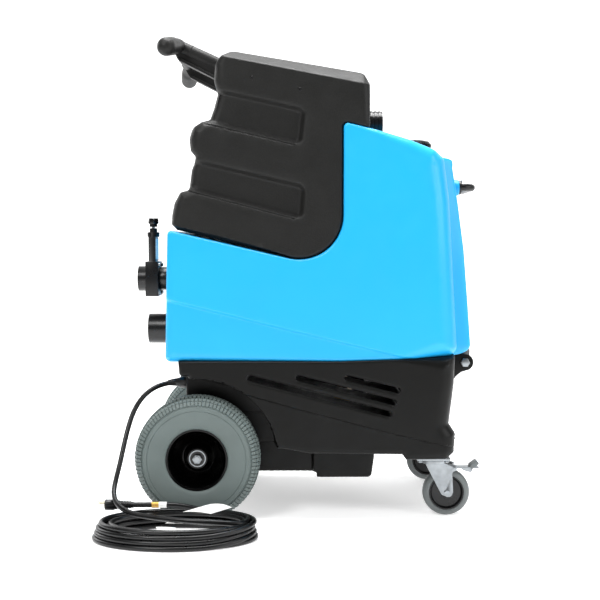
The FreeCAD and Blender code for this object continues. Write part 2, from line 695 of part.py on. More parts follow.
def make_handle(tank_outer):
    """The push handle: a cross bar whose thicker ends sweep back, on two deep arms."""
    half, straight_half, sweep = size("grip_span") / 2, 130, 250
    end_x, end_z = size("grip_x"), size("grip_height")
    bar_x, bar_z = end_x + size("bar_ahead"), end_z + size("bar_rise")
    corners = [Vector(end_x, -half, end_z), Vector(bar_x, -straight_half, bar_z),
               Vector(bar_x, straight_half, bar_z), Vector(end_x, half, end_z)]
    bar = document.addObject("Part::Feature", fresh("bar"))
    bar.Shape = pipe(bent_path(corners, [sweep, sweep]), size("bar_radius"))
    grips = document.addObject("Part::Feature", fresh("grips"))
    ends = []
    for tip, bend in ((corners[0], corners[1]), (corners[3], corners[2])):
        heading = (bend - tip).normalize()
        grip = Part.makeCylinder(size("grip_radius"), size("grip_length"), tip, heading)
        ends.append(grip.fuse(Part.makeSphere(size("grip_radius"), tip)))
    grips.Shape = Part.makeCompound(ends)
    arms = [profile(ARM, "arm_width", f"{way} * arm_mid", soft=9) for way in (-1, 1)]
    keep(cut(fuse(bar, grips, *arms), tank_outer), "push_handle")


# ---- drain valve, hose port and controls --------------------------------------------------------

def make_rear_outlets(tank_outer):
    """The gate valve and the hose port on the rear wall; returns their screws."""
    y, z = "outlet_mid", "outlet_height"
    bore = "outlet_bore"
    front, back = "rear_wall - 24", "rear_wall - 51"
    stem_x = "rear_wall - 37.5"
    low, shoulder, bonnet_top, collar_top, knob_low = 466, 540, 593, 603, 622
    keep(cut(tube("X", 25, bore, front, "rear_wall + 4", y, z), tank_outer),
         "valve_coupling")
    valve_block = block((back, front), (f"{y} - 34", f"{y} + 34"), (low, shoulder))
    bonnet = block((f"{stem_x} - 7.5", f"{stem_x} + 7.5"), (f"{y} - 26", f"{y} + 26"),
                   (shoulder, bonnet_top))
    collar = rod("Z", 13, bonnet_top, collar_top, stem_x, y)
    outlet = rod("X", "outlet_radius", -367, back, y, z)
    gate_space = block((f"{stem_x} - 3.8", f"{stem_x} + 3.8"), (f"{y} - 22", f"{y} + 22"),
                       (low + 12, bonnet_top - 4))
    bore_rod = rod("X", bore, -370, f"{front} + 1", y, z)
    stem_hole = rod("Z", "stem_radius + running_gap", bonnet_top - 13, collar_top + 7,
                    stem_x, y)
    keep(cut(fuse(valve_block, bonnet, collar, outlet), gate_space, bore_rod, stem_hole),
         "valve_body")
    heads = [rod("X", 4.5, front, f"{front} + 4", f"{y} + {across}", height)
             for across in (-27, 27) for height in (low + 7, shoulder - 7)]
    gate = fuse(block((f"{stem_x} - 3", f"{stem_x} + 3"), (f"{y} - 21", f"{y} + 21"),
                      (low + 14, shoulder - 10)),
                rod("Z", "stem_radius", shoulder - 10, knob_low, stem_x, y))
    keep(gate, "valve_gate")
    keep(fuse(rod("Z", 10.5, knob_low, knob_low + 11, stem_x, y),
              rod("Y", 5, f"{y} - 24", f"{y} + 24", stem_x, knob_low + 5.5)), "valve_knob")
    flange_back = "rear_wall - 6"
    flange = tube("X", 40, "port_bore", flange_back, "rear_wall + 3", y, "port_height")
    spigot = tube("X", "port_radius", "port_bore", -345, flange_back, y, "port_height")
    keep(cut(fuse(flange, spigot), tank_outer), "hose_port")
    port_heads = [rod("X", 3, f"{flange_back} - 2", flange_back, y, f"port_height + {up}")
                  for up in (-36, 36)]
    return heads + port_heads


def make_controls():
    """The sunk control panel with four rocker switches and a pressure gauge."""
    floor = f"rear_wall + {BAY['x']}"
    face = f"{floor} - 3"
    openings = []
    switches = []
    for index, y in enumerate((35, 65, 95, 125)):
        opening = block((f"{face} - 1", f"{floor} + 1"), (y - 10.3, y + 10.3), (456.7, 487.3))
        openings.append(opening)
        bezel = cut(block((f"{face} - 2", face), (y - 12, y + 12), (454, 490)),
                    block((f"{face} - 3", f"{face} + 1"), (y - 9.5, y + 9.5),
                          (457.5, 486.5)))
        switches.append(bezel)
        rocker = profile([(-283, 459, 0), (-286, 485, 0), (-279.5, 485, 0), (-279.5, 459, 0)],
                         "18", str(y))
        keep(rocker, f"rocker_switch_{index + 1}")
    plate = block((face, floor), (BAY["low_y"] + 4, BAY["high_y"] - 4),
                  (BAY["low_z"] + 6, BAY["high_z"] - 6))
    keep(group(cut(plate, *openings), *switches), "control_panel")
    gauge_y, gauge_z = 155, 520
    case = cut(rod("X", 27, f"{face} - 12", face, gauge_y, gauge_z),
               rod("X", 24, f"{face} - 13", f"{face} - 4", gauge_y, gauge_z))
    pivot = rod("X", 1.5, f"{face} - 7", f"{face} - 4", gauge_y, gauge_z)
    keep(fuse(case, pivot), "gauge_case")
    arm = document.addObject("Part::Cone", fresh("arm"))
    arm.Radius1, arm.Radius2, arm.Height = 0.9, 0.4, 20
    place(arm, f"{face} - 6", gauge_y, gauge_z,
          rotation=FreeCAD.Rotation(Vector(1, 0, 0), -135))
    boss = rod("X", 4, f"{face} - 6.9", f"{face} - 5.1", gauge_y, gauge_z)
    bore = rod("X", "1.5 + running_gap", f"{face} - 10", face, gauge_y, gauge_z)
    keep(cut(fuse(arm, boss), bore), "gauge_needle")
    keep(rod("X", 23.8, f"{face} - 11", f"{face} - 9.5", gauge_y, gauge_z), "gauge_window")


def make_parts():
    """Build every sub-part, from the floor up."""
    make_base_tub()
    make_axle()
    for side, sign in (("near", -1), ("far", 1)):
        make_wheel(side, sign)
        make_caster(side, sign)
    make_caster_plates()
    make_insides()
    make_cord_gland()
    solution_outer = make_solution_tank()
    make_hinge_brackets()
    make_fill_neck()
    screws = make_front_handle() + make_rear_outlets(solution_outer)
    keep(group(*screws), "tank_screws")
    recovery_outer = make_recovery_tank()
    make_inlet()
    make_standpipe()
    make_handle(recovery_outer)
    make_controls()
    make_cord()


def check_document():
    """Stop if any object of the document failed or any sub-part isn't sound."""
    document.recompute()
    failed = [item.Label for item in document.Objects
              if {"Invalid", "Error"} & set(item.State)]
    if failed:
        raise RuntimeError(f"these objects failed: {failed}")
    for solid in kept:
        if solid.Shape.isNull() or not solid.Shape.isValid():
            raise RuntimeError(f"{solid.Label} has no valid shape")


def write_parts():
    """Write each sub-part's shape to its own STEP file."""
    os.makedirs("parts", exist_ok=True)
    for solid in kept:
        solid.Shape.exportStep(f"parts/{solid.Label}.step")
    print(len(kept), "sub-parts written")


make_parts()
check_document()
write_parts()
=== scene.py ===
"""Looks of a carpet cleaner machine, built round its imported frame.

Sizes in this file are millimetres unless a name ends in _m; meshes are written in metres.
+X is the machine's front, +Y its far side and +Z up, with the origin on the floor.
"""

import json
import logging
import math
from dataclasses import dataclass, field
from enum import Enum
from typing import Callable, Sequence

import bmesh
import bpy
import numpy as np
from mathutils import Matrix, Vector
from mathutils.geometry import delaunay_2d_cdt

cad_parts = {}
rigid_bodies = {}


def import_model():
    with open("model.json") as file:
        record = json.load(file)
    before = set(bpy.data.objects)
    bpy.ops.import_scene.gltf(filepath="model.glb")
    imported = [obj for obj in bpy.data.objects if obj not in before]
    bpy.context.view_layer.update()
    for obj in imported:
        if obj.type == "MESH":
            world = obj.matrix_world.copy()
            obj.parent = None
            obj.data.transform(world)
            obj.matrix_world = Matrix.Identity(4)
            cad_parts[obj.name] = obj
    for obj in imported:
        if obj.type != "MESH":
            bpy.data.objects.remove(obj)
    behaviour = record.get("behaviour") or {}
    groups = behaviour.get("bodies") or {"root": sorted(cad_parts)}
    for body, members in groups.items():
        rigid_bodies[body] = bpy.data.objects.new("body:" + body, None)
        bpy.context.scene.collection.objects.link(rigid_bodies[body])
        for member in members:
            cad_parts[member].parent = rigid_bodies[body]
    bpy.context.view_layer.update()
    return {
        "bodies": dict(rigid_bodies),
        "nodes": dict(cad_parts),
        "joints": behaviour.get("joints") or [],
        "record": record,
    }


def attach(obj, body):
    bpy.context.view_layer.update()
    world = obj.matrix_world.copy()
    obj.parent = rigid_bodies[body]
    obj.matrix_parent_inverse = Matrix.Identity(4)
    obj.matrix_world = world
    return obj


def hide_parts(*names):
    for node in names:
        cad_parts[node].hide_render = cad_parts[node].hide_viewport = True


log = logging.getLogger("carpet_cleaner")
MM = 0.001
# The part of a noise texture's range that its values fill.
NOISE_LOW, NOISE_HIGH = 0.3, 0.7


# ---- colour and material helpers -----------------------------------------------------

def linear(hex_code: str) -> tuple[float, float, float, float]:
    """Turn an sRGB hex colour into linear RGBA.

    Args:
        hex_code: The colour as #RRGGBB.

    Returns:
        Red, green, blue and 1.
    """
    def channel(pair: str) -> float:
        """One channel, from two hex digits to a linear value."""
        value = int(pair, 16) / 255
        return value / 12.92 if value <= 0.04045 else ((value + 0.055) / 1.055) ** 2.4
    digits = hex_code.lstrip("#")
    return (*(channel(digits[at:at + 2]) for at in (0, 2, 4)), 1.0)


def add(tree: bpy.types.NodeTree, kind: str, settings: dict | None = None,
        inputs: dict | None = None) -> bpy.types.Node:
    """Add a node.

    Args:
        tree: The tree that gets it.
        kind: The node's type name.
        settings: Properties of the node.
        inputs: Values, or output sockets to link, by input name or number.

    Returns:
        The new node.
    """
    node = tree.nodes.new(kind)
    for name, value in (settings or {}).items():
        setattr(node, name, value)
    for name, value in (inputs or {}).items():
        socket = node.inputs[name]
        if isinstance(value, bpy.types.NodeSocket):
            tree.links.new(value, socket)
        else:
            socket.default_value = value
    return node


class Grain(Enum):
    """How a surface was made, which sets its bump."""
    SMOOTH = "smooth"
    ORANGE_PEEL = "orange peel"
    PEBBLED = "pebbled"
    BRUSHED = "brushed"


@dataclass(frozen=True)
class Finish:
    """One real material and the way its surface was made.

    Grain and blotch sizes are real sizes in millimetres.
    """
    name: str
    colour: str
    roughness: float = 0.5
    metallic: float = 0.0
    grain: Grain = Grain.SMOOTH
    grain_mm: float = 1.0
    bump_mm: float = 0.05
    blotch_mm: float = 60.0
    blotch: float = 0.06
    roughness_swing: float = 0.06
    coat: float = 0.0
    ior: float = 1.5
    alpha: float = 1.0
    speckle: float = 0.0
    glow: float = 0.0
    coat_roughness: float = 0.12
    wander_mm: float = 35.0
    brush_stretch: float = 0.04

    def material(self) -> bpy.types.Material:
        """Build the material once and return it."""
        made = bpy.data.materials.get(self.name)
        if made is not None:
            return made
        made = bpy.data.materials.new(self.name)
        made.use_nodes = True
        tree = made.node_tree
        shader = tree.nodes["Principled BSDF"]
        shader.inputs["Metallic"].default_value = self.metallic
        shader.inputs["Coat Weight"].default_value = self.coat
        shader.inputs["Coat Roughness"].default_value = self.coat_roughness
        shader.inputs["Alpha"].default_value = self.alpha
        shader.inputs["Emission Color"].default_value = linear("#FFFFFF")
        shader.inputs["Emission Strength"].default_value = self.glow
        if not self.metallic:
            shader.inputs["IOR"].default_value = self.ior
        place = add(tree, "ShaderNodeTexCoord").outputs["Object"]
        self._colour(tree, shader, place)
        self._surface(tree, shader, place)
        return made

    def _colour(self, tree: bpy.types.NodeTree, shader: bpy.types.Node,
                place: bpy.types.NodeSocket) -> None:
        """Base colour with soft blotches, and speckles where the surface has them.

        Args:
            tree: The material's tree.
            shader: Its shader node.
            place: The object's coordinates.
        """
        blotches = add(tree, "ShaderNodeTexNoise", inputs={
            "Vector": place, "Scale": 1000 / self.blotch_mm, "Detail": 3.0})
        low, high = 1 - self.blotch, 1 + self.blotch
        spread = add(tree, "ShaderNodeMapRange", inputs={
            "Value": blotches.outputs["Fac"], "From Min": NOISE_LOW, "From Max": NOISE_HIGH,
            "To Min": low, "To Max": high})
        factor = spread.outputs["Result"]
        if self.speckle:
            grains = add(tree, "ShaderNodeTexNoise", inputs={
                "Vector": place, "Scale": 1000 / self.grain_mm, "Detail": 2.0})
            dots = add(tree, "ShaderNodeMapRange", inputs={
                "Value": grains.outputs["Fac"], "From Min": 0.35, "From Max": 0.65,
                "To Min": 1 - self.speckle, "To Max": 1 + self.speckle})
            factor = add(tree, "ShaderNodeMath", {"operation": "MULTIPLY"},
                         {0: factor, 1: dots.outputs["Result"]}).outputs[0]
        tint = add(tree, "ShaderNodeVectorMath", {"operation": "SCALE"},
                   {0: linear(self.colour)[:3], "Scale": factor})
        tree.links.new(tint.outputs["Vector"], shader.inputs["Base Color"])

    def _surface(self, tree: bpy.types.NodeTree, shader: bpy.types.Node,
                 place: bpy.types.NodeSocket) -> None:
        """Roughness that wanders a little, and the bump of the surface's grain.

        Args:
            tree: The material's tree.
            shader: Its shader node.
            place: The object's coordinates.
        """
        wander = add(tree, "ShaderNodeTexNoise", inputs={
            "Vector": place, "Scale": 1000 / self.wander_mm, "Detail": 4.0})
        rough = add(tree, "ShaderNodeMapRange", inputs={
            "Value": wander.outputs["Fac"], "From Min": NOISE_LOW, "From Max": NOISE_HIGH,
            "To Min": max(self.roughness - self.roughness_swing, 0.02),
            "To Max": self.roughness + self.roughness_swing})
        tree.links.new(rough.outputs["Result"], shader.inputs["Roughness"])
        if self.grain is Grain.SMOOTH:
            return
        stretched = place
        if self.grain is Grain.BRUSHED:
            stretched = add(tree, "ShaderNodeMapping", inputs={
                "Vector": place, "Scale": (1.0, 1.0, self.brush_stretch)}).outputs["Vector"]
        if self.grain is Grain.PEBBLED:
            relief = add(tree, "ShaderNodeTexVoronoi", {"feature": "SMOOTH_F1"}, {
                "Vector": stretched, "Scale": 1000 / self.grain_mm,
                "Smoothness": 0.6}).outputs["Distance"]
        else:
            relief = add(tree, "ShaderNodeTexNoise", inputs={
                "Vector": stretched, "Scale": 1000 / self.grain_mm,
                "Detail": 2.0}).outputs["Fac"]
        bump = add(tree, "ShaderNodeBump", inputs={
            "Height": relief, "Distance": self.bump_mm * MM, "Strength": 1.0})
        tree.links.new(bump.outputs["Normal"], shader.inputs["Normal"])


# Rotomoulded polyethylene, pigmented blue: satin, with the faint orange peel of the mould.
BLUE_POLYETHYLENE = Finish("blue rotomoulded polyethylene", "#1DA8E6", 0.38, ior=1.38,
                           grain=Grain.ORANGE_PEEL, grain_mm=5.0, bump_mm=0.12,
                           blotch_mm=140, blotch=0.02, coat=0.12)
# Rotomoulded polyethylene from a pebbled mould: charcoal black that scatters light.
BLACK_POLYETHYLENE = Finish("black pebbled polyethylene", "#181817", 0.5, ior=1.32,
                            grain=Grain.PEBBLED, grain_mm=2.2, bump_mm=0.3,
                            blotch_mm=90, blotch=0.1, speckle=0.16)
# The base is the same polyethylene from a smoother mould, so it is darker and glossier.
BASE_POLYETHYLENE = Finish("black smooth polyethylene", "#0D0D0C", 0.4, ior=1.26,
                           grain=Grain.ORANGE_PEEL, grain_mm=3.0, bump_mm=0.12,
                           blotch_mm=80, blotch=0.1)
# Grey foam-filled tyre: dusty matt rubber, a little blue-green.
GREY_TYRE = Finish("grey non-marking tyre rubber", "#616C6A", 0.6, grain=Grain.ORANGE_PEEL,
                   grain_mm=1.6, bump_mm=0.08, blotch_mm=50, blotch=0.06)
# Thermoplastic rubber of the casters: smoother and browner than the tyre.
CASTER_RUBBER = Finish("grey thermoplastic rubber", "#626767", 0.45, blotch_mm=30)
# Black enamel over a pressed steel rim: near mirror gloss.
RIM_ENAMEL = Finish("black gloss enamel", "#020202", 0.12, ior=1.27, roughness_swing=0.03)
# Zinc plated pressed steel: bright blue-grey, faintly streaked.
ZINC_STEEL = Finish("zinc plated steel", "#8F9396", 0.33, metallic=1.0, grain=Grain.BRUSHED,
                    grain_mm=1.2, bump_mm=0.01, blotch_mm=12, blotch=0.1)
# Injection moulded ABS of the valve, ports and caps: deep black with a soft gloss.
BLACK_ABS = Finish("black moulded ABS", "#0E0E0F", 0.3, ior=1.42, grain=Grain.ORANGE_PEEL,
                   grain_mm=1.4, bump_mm=0.02, blotch_mm=30)
# Polished ABS of the rockers and the knob.
GLOSS_ABS = Finish("black gloss ABS", "#0B0B0C", 0.16, coat=0.3, roughness_swing=0.03)
# Extruded PVC jacket of the mains cord: soft sheen, slightly uneven.
CORD_PVC = Finish("black PVC cord jacket", "#0A0A0B", 0.3, ior=1.42, grain=Grain.ORANGE_PEEL,
                  grain_mm=3.0, bump_mm=0.03, blotch_mm=25)
# Nickel plated brass of the plug's blades.
PLUG_BLADE = Finish("nickel plated brass", "#D8D4C8", 0.22, metallic=1.0, blotch_mm=6)
# Turned brass of the pump head and the hose coupler.
BRASS = Finish("turned brass", "#B58A3E", 0.26, metallic=1.0, grain=Grain.BRUSHED,
               grain_mm=0.8, bump_mm=0.01, blotch_mm=10)
# Blank coated card of the hang tags.
TAG_CARD = Finish("white coated card", "#F3F3F0", 0.55, grain=Grain.ORANGE_PEEL,
                  grain_mm=1.0, bump_mm=0.02, blotch_mm=20, blotch=0.02)
# A round spot of red ink on one tag.
TAG_DOT = Finish("red printing ink", "#F03A3A", 0.5, blotch_mm=8, blotch=0.03)
# Gold foil band of the cord's label: a warm, blurred glint.
SLEEVE_GOLD = Finish("gold foil label", "#C79A4B", 0.35, metallic=0.6, blotch_mm=5)
# Extruded white PVC pipe and the blow-moulded float.
WHITE_PVC = Finish("white PVC pipe", "#E4E4DF", 0.38, blotch_mm=40, blotch=0.02)
# Cast aluminium with grey paint on the motors, pump and heater.
MOTOR_PAINT = Finish("grey painted cast aluminium", "#8C8F90", 0.42, grain=Grain.ORANGE_PEEL,
                     grain_mm=2.0, bump_mm=0.06, blotch_mm=40)
# Chromed brass of the gauge's bezel: a hard bright edge.
CHROME = Finish("chromed brass bezel", "#DADCDD", 0.1, metallic=1.0, blotch_mm=20)
# Moulded acetal of the gauge's needle: flat red.
NEEDLE_RED = Finish("red moulded acetal", "#B3201A", 0.35, blotch_mm=6)
# Cast acrylic of the gauge's lens: nearly invisible but for its reflection.
CLEAR_LENS = Finish("clear acrylic lens", "#F4F8F8", 0.05, alpha=0.18, blotch_mm=30,
                    blotch=0.0, roughness_swing=0.01)
# Matt white paint of the studio's floor, lit from within so that it stays white.
FLOOR_PAINT = Finish("white studio floor", "#F7F7F7", 0.8, blotch_mm=400, blotch=0.004,
                     glow=0.46)


# ---- mesh helpers --------------------------------------------------------------------

Point = tuple[float, float, float]
# Angles in degrees: edges that turn by more stay crisp, or are bevelled.
CARVED_SHARP, BEVELLED_SHARP, BEVEL_FROM = 35.0, 50.0, 30.0


def piece(name: str, points: Sequence, faces: Sequence, finish: Finish,
          sharp: float = 35.0) -> bpy.types.Object:
    """Make a smooth-shaded object from points in millimetres.

    Args:
        name: The object's name.
        points: Vertices in millimetres.
        faces: Vertex numbers of each face.
        finish: What it is made of.
        sharp: Edges that turn by more than this many degrees stay crisp.

    Returns:
        The linked object.
    """
    mesh = bpy.data.meshes.new(name)
    mesh.from_pydata((np.asarray(points, float) * MM).tolist(), [],
                     [list(map(int, face)) for face in faces])
    mesh.materials.append(finish.material())
    mesh.validate()
    mesh.shade_smooth()
    mesh.set_sharp_from_angle(angle=math.radians(sharp))
    made = bpy.data.objects.new(name, mesh)
    bpy.context.scene.collection.objects.link(made)
    return made


def face_outwards(made: bpy.types.Object) -> bpy.types.Object:
    """Merge doubles and turn every face outwards.

    Args:
        made: A closed object.

    Returns:
        The same object.
    """
    shape = bmesh.new()
    shape.from_mesh(made.data)
    bmesh.ops.remove_doubles(shape, verts=shape.verts, dist=1e-6)
    bmesh.ops.recalc_face_normals(shape, faces=shape.faces)
    shape.to_mesh(made.data)
    shape.free()
    return made


def join(name: str, *pieces: bpy.types.Object) -> bpy.types.Object:
    """Join objects' meshes into one object, keeping their materials.

    Args:
        name: The new object's name.
        pieces: The objects, which are used up.

    Returns:
        The new object.
    """
    shape = bmesh.new()
    finishes: list[bpy.types.Material] = []
    for one in pieces:
        start = len(shape.faces)
        shape.from_mesh(one.data)
        shape.faces.ensure_lookup_table()
        slots = []
        for material in one.data.materials:
            if material not in finishes:
                finishes.append(material)
            slots.append(finishes.index(material))
        for face in shape.faces[start:]:
            face.material_index = slots[face.material_index] if slots else 0
    mesh = bpy.data.meshes.new(name)
    shape.to_mesh(mesh)
    shape.free()
    for material in finishes:
        mesh.materials.append(material)
    for one in pieces:
        bpy.data.objects.remove(one)
    made = bpy.data.objects.new(name, mesh)
    bpy.context.scene.collection.objects.link(made)
    return made


def carve(base: bpy.types.Object, tool: bpy.types.Object, how: str) -> bpy.types.Object:
    """Apply one boolean to base and throw the tool away.

    Args:
        base: The object that changes.
        tool: The closed solid to add or take away.
        how: DIFFERENCE or UNION.

    Returns:
        base.
    """
    modifier = base.modifiers.new("carve", "BOOLEAN")
    modifier.operation = how
    modifier.object = tool
    modifier.solver = "EXACT"
    graph = bpy.context.evaluated_depsgraph_get()
    result = bpy.data.meshes.new_from_object(base.evaluated_get(graph))
    base.modifiers.clear()
    base.data = result
    result.shade_smooth()
    result.set_sharp_from_angle(angle=math.radians(CARVED_SHARP))
    bpy.data.objects.remove(tool)
    return base


def soften(made: bpy.types.Object, width: float, segments: int = 3) -> bpy.types.Object:
    """Round the crisp edges of an object with a bevel, applied to its mesh.

    Args:
        made: The object.
        width: The bevel's width in millimetres.
        segments: Its facets.

    Returns:
        The same object.
    """
    modifier = made.modifiers.new("soften", "BEVEL")
    modifier.width = width * MM
    modifier.segments = segments
    modifier.limit_method = "ANGLE"
    modifier.angle_limit = math.radians(BEVEL_FROM)
    graph = bpy.context.evaluated_depsgraph_get()
    result = bpy.data.meshes.new_from_object(made.evaluated_get(graph))
    made.modifiers.clear()
    made.data = result
    result.shade_smooth()
    result.set_sharp_from_angle(angle=math.radians(BEVELLED_SHARP))
    return made


def slab(name: str, low: Point, high: Point, finish: Finish, round_mm: float = 1.0,
         segments: int = 3) -> bpy.types.Object:
    """A box with rounded edges between two corners.

    Args:
        name: The object's name.
        low: The corner with the least x, y and z.
        high: The corner with the greatest.
        finish: What it is made of.
        round_mm: The edges' bevel, or 0.
        segments: The bevel's facets.

    Returns:
        The box.
    """
    points = [(x, y, z) for x in (low[0], high[0]) for y in (low[1], high[1])
              for z in (low[2], high[2])]
    faces = [(0, 1, 3, 2), (4, 6, 7, 5), (0, 4, 5, 1), (2, 3, 7, 6), (0, 2, 6, 4),
             (1, 5, 7, 3)]
    made = face_outwards(piece(name, points, faces, finish))
    return soften(made, round_mm, segments) if round_mm else made


AXES = {"X": ((0, 1, 0), (0, 0, 1), (1, 0, 0)), "Y": ((0, 0, 1), (1, 0, 0), (0, 1, 0)),
        "Z": ((1, 0, 0), (0, 1, 0), (0, 0, 1))}


def lathe(name: str, outline: Sequence[tuple[float, float]], centre: Point, axis: str,
          finish: Finish, steps: int = 64, sharp: float = 32.0) -> bpy.types.Object:
    """Turn an outline about an axis.

    Args:
        name: The object's name.
        outline: (radius, distance along the axis) points; closed unless both ends are at
            radius 0.
        centre: A point on the axis, from which the distances are counted.
        axis: X, Y or Z.
        finish: What it is made of.
        steps: Facets round the axis.
        sharp: The crisp-edge angle.

    Returns:
        The closed object.
    """
    first, second, along = (np.array(part, float) for part in AXES[axis])
    rows = len(outline)
    points: list[np.ndarray] = []
    start: list[int] = []
    for radius, way in outline:
        start.append(len(points))
        if radius == 0:
            points.append(np.array(centre) + along * way)
            continue
        for step in range(steps):
            turn = 2 * math.pi * step / steps
            points.append(np.array(centre) + along * way
                          + radius * (first * math.cos(turn) + second * math.sin(turn)))
    faces = []
    closed = outline[0][0] > 0 or outline[-1][0] > 0
    for row in range(rows if closed else rows - 1):
        a, b = row, (row + 1) % rows
        pole_a, pole_b = outline[a][0] == 0, outline[b][0] == 0
        if pole_a and pole_b:
            continue
        for step in range(steps):
            nxt = (step + 1) % steps
            if pole_a:
                faces.append((start[a], start[b] + step, start[b] + nxt))
            elif pole_b:
                faces.append((start[a] + step, start[a] + nxt, start[b]))
            else:
                faces.append((start[a] + step, start[a] + nxt, start[b] + nxt,
                              start[b] + step))
    return face_outwards(piece(name, points, faces, finish, sharp))


def both_sides(half: Sequence[tuple[float, float]]) -> list[tuple[float, float]]:
    """A lathe outline and its mirror image, joined end to end."""
    return [(radius, -way) for radius, way in half] + list(reversed(half))


def arc(centre: tuple[float, float], radius: float, first: float, last: float,
        steps: int = 6) -> list[tuple[float, float]]:
    """Points of a plane arc, its angles in degrees.

    Args:
        centre: The arc's centre.
        radius: Its radius.
        first: The angle of its first point.
        last: The angle of its last.
        steps: How many chords it has.

    Returns:
        The points in order.
    """
    turns = [math.radians(first + (last - first) * step / steps) for step in range(steps + 1)]
    return [(centre[0] + radius * math.cos(turn), centre[1] + radius * math.sin(turn))
            for turn in turns]


def tube_along(name: str, path: Sequence[Point], radii: Sequence[float], finish: Finish,
               steps: int = 20) -> bpy.types.Object:
    """A round tube through the path's points, with a radius at each.

    Args:
        name: The object's name.
        path: The centre line.
        radii: A radius for each of its points.
        finish: What it is made of.
        steps: Facets round the tube.

    Returns:
        The closed tube.
    """
    line = np.array(path, float)
    count = len(line)
    ahead = np.gradient(line, axis=0)
    ahead /= np.linalg.norm(ahead, axis=1)[:, None]
    side = np.cross(ahead[0], (0.0, 0.0, 1.0))
    if np.linalg.norm(side) < 1e-3:
        side = np.cross(ahead[0], (0.0, 1.0, 0.0))
    points = []
    for index in range(count):
        side = side - ahead[index] * np.dot(side, ahead[index])
        side /= np.linalg.norm(side)
        over = np.cross(ahead[index], side)
        for step in range(steps):
            turn = 2 * math.pi * step / steps
            points.append(line[index] + radii[index] * (side * math.cos(turn)
                                                       + over * math.sin(turn)))
    faces = [(row * steps + step, row * steps + (step + 1) % steps,
              (row + 1) * steps + (step + 1) % steps, (row + 1) * steps + step)
             for row in range(count - 1) for step in range(steps)]
    faces.append(tuple(range(steps)))
    faces.append(tuple((count - 1) * steps + step for step in range(steps)))
    return face_outwards(piece(name, points, faces, finish, 40))


def moved(made: bpy.types.Object, matrix: Matrix) -> bpy.types.Object:
    """Move an object's vertices, in millimetres, leaving the object at the origin.

    Args:
        made: The object.
        matrix: The move, its shift in millimetres.

    Returns:
        The same object.
    """
    scaled = matrix.copy()
    scaled.translation = matrix.translation * MM
    made.data.transform(scaled)
    return made


# ---- repeated features by Geometry Nodes ---------------------------------------------

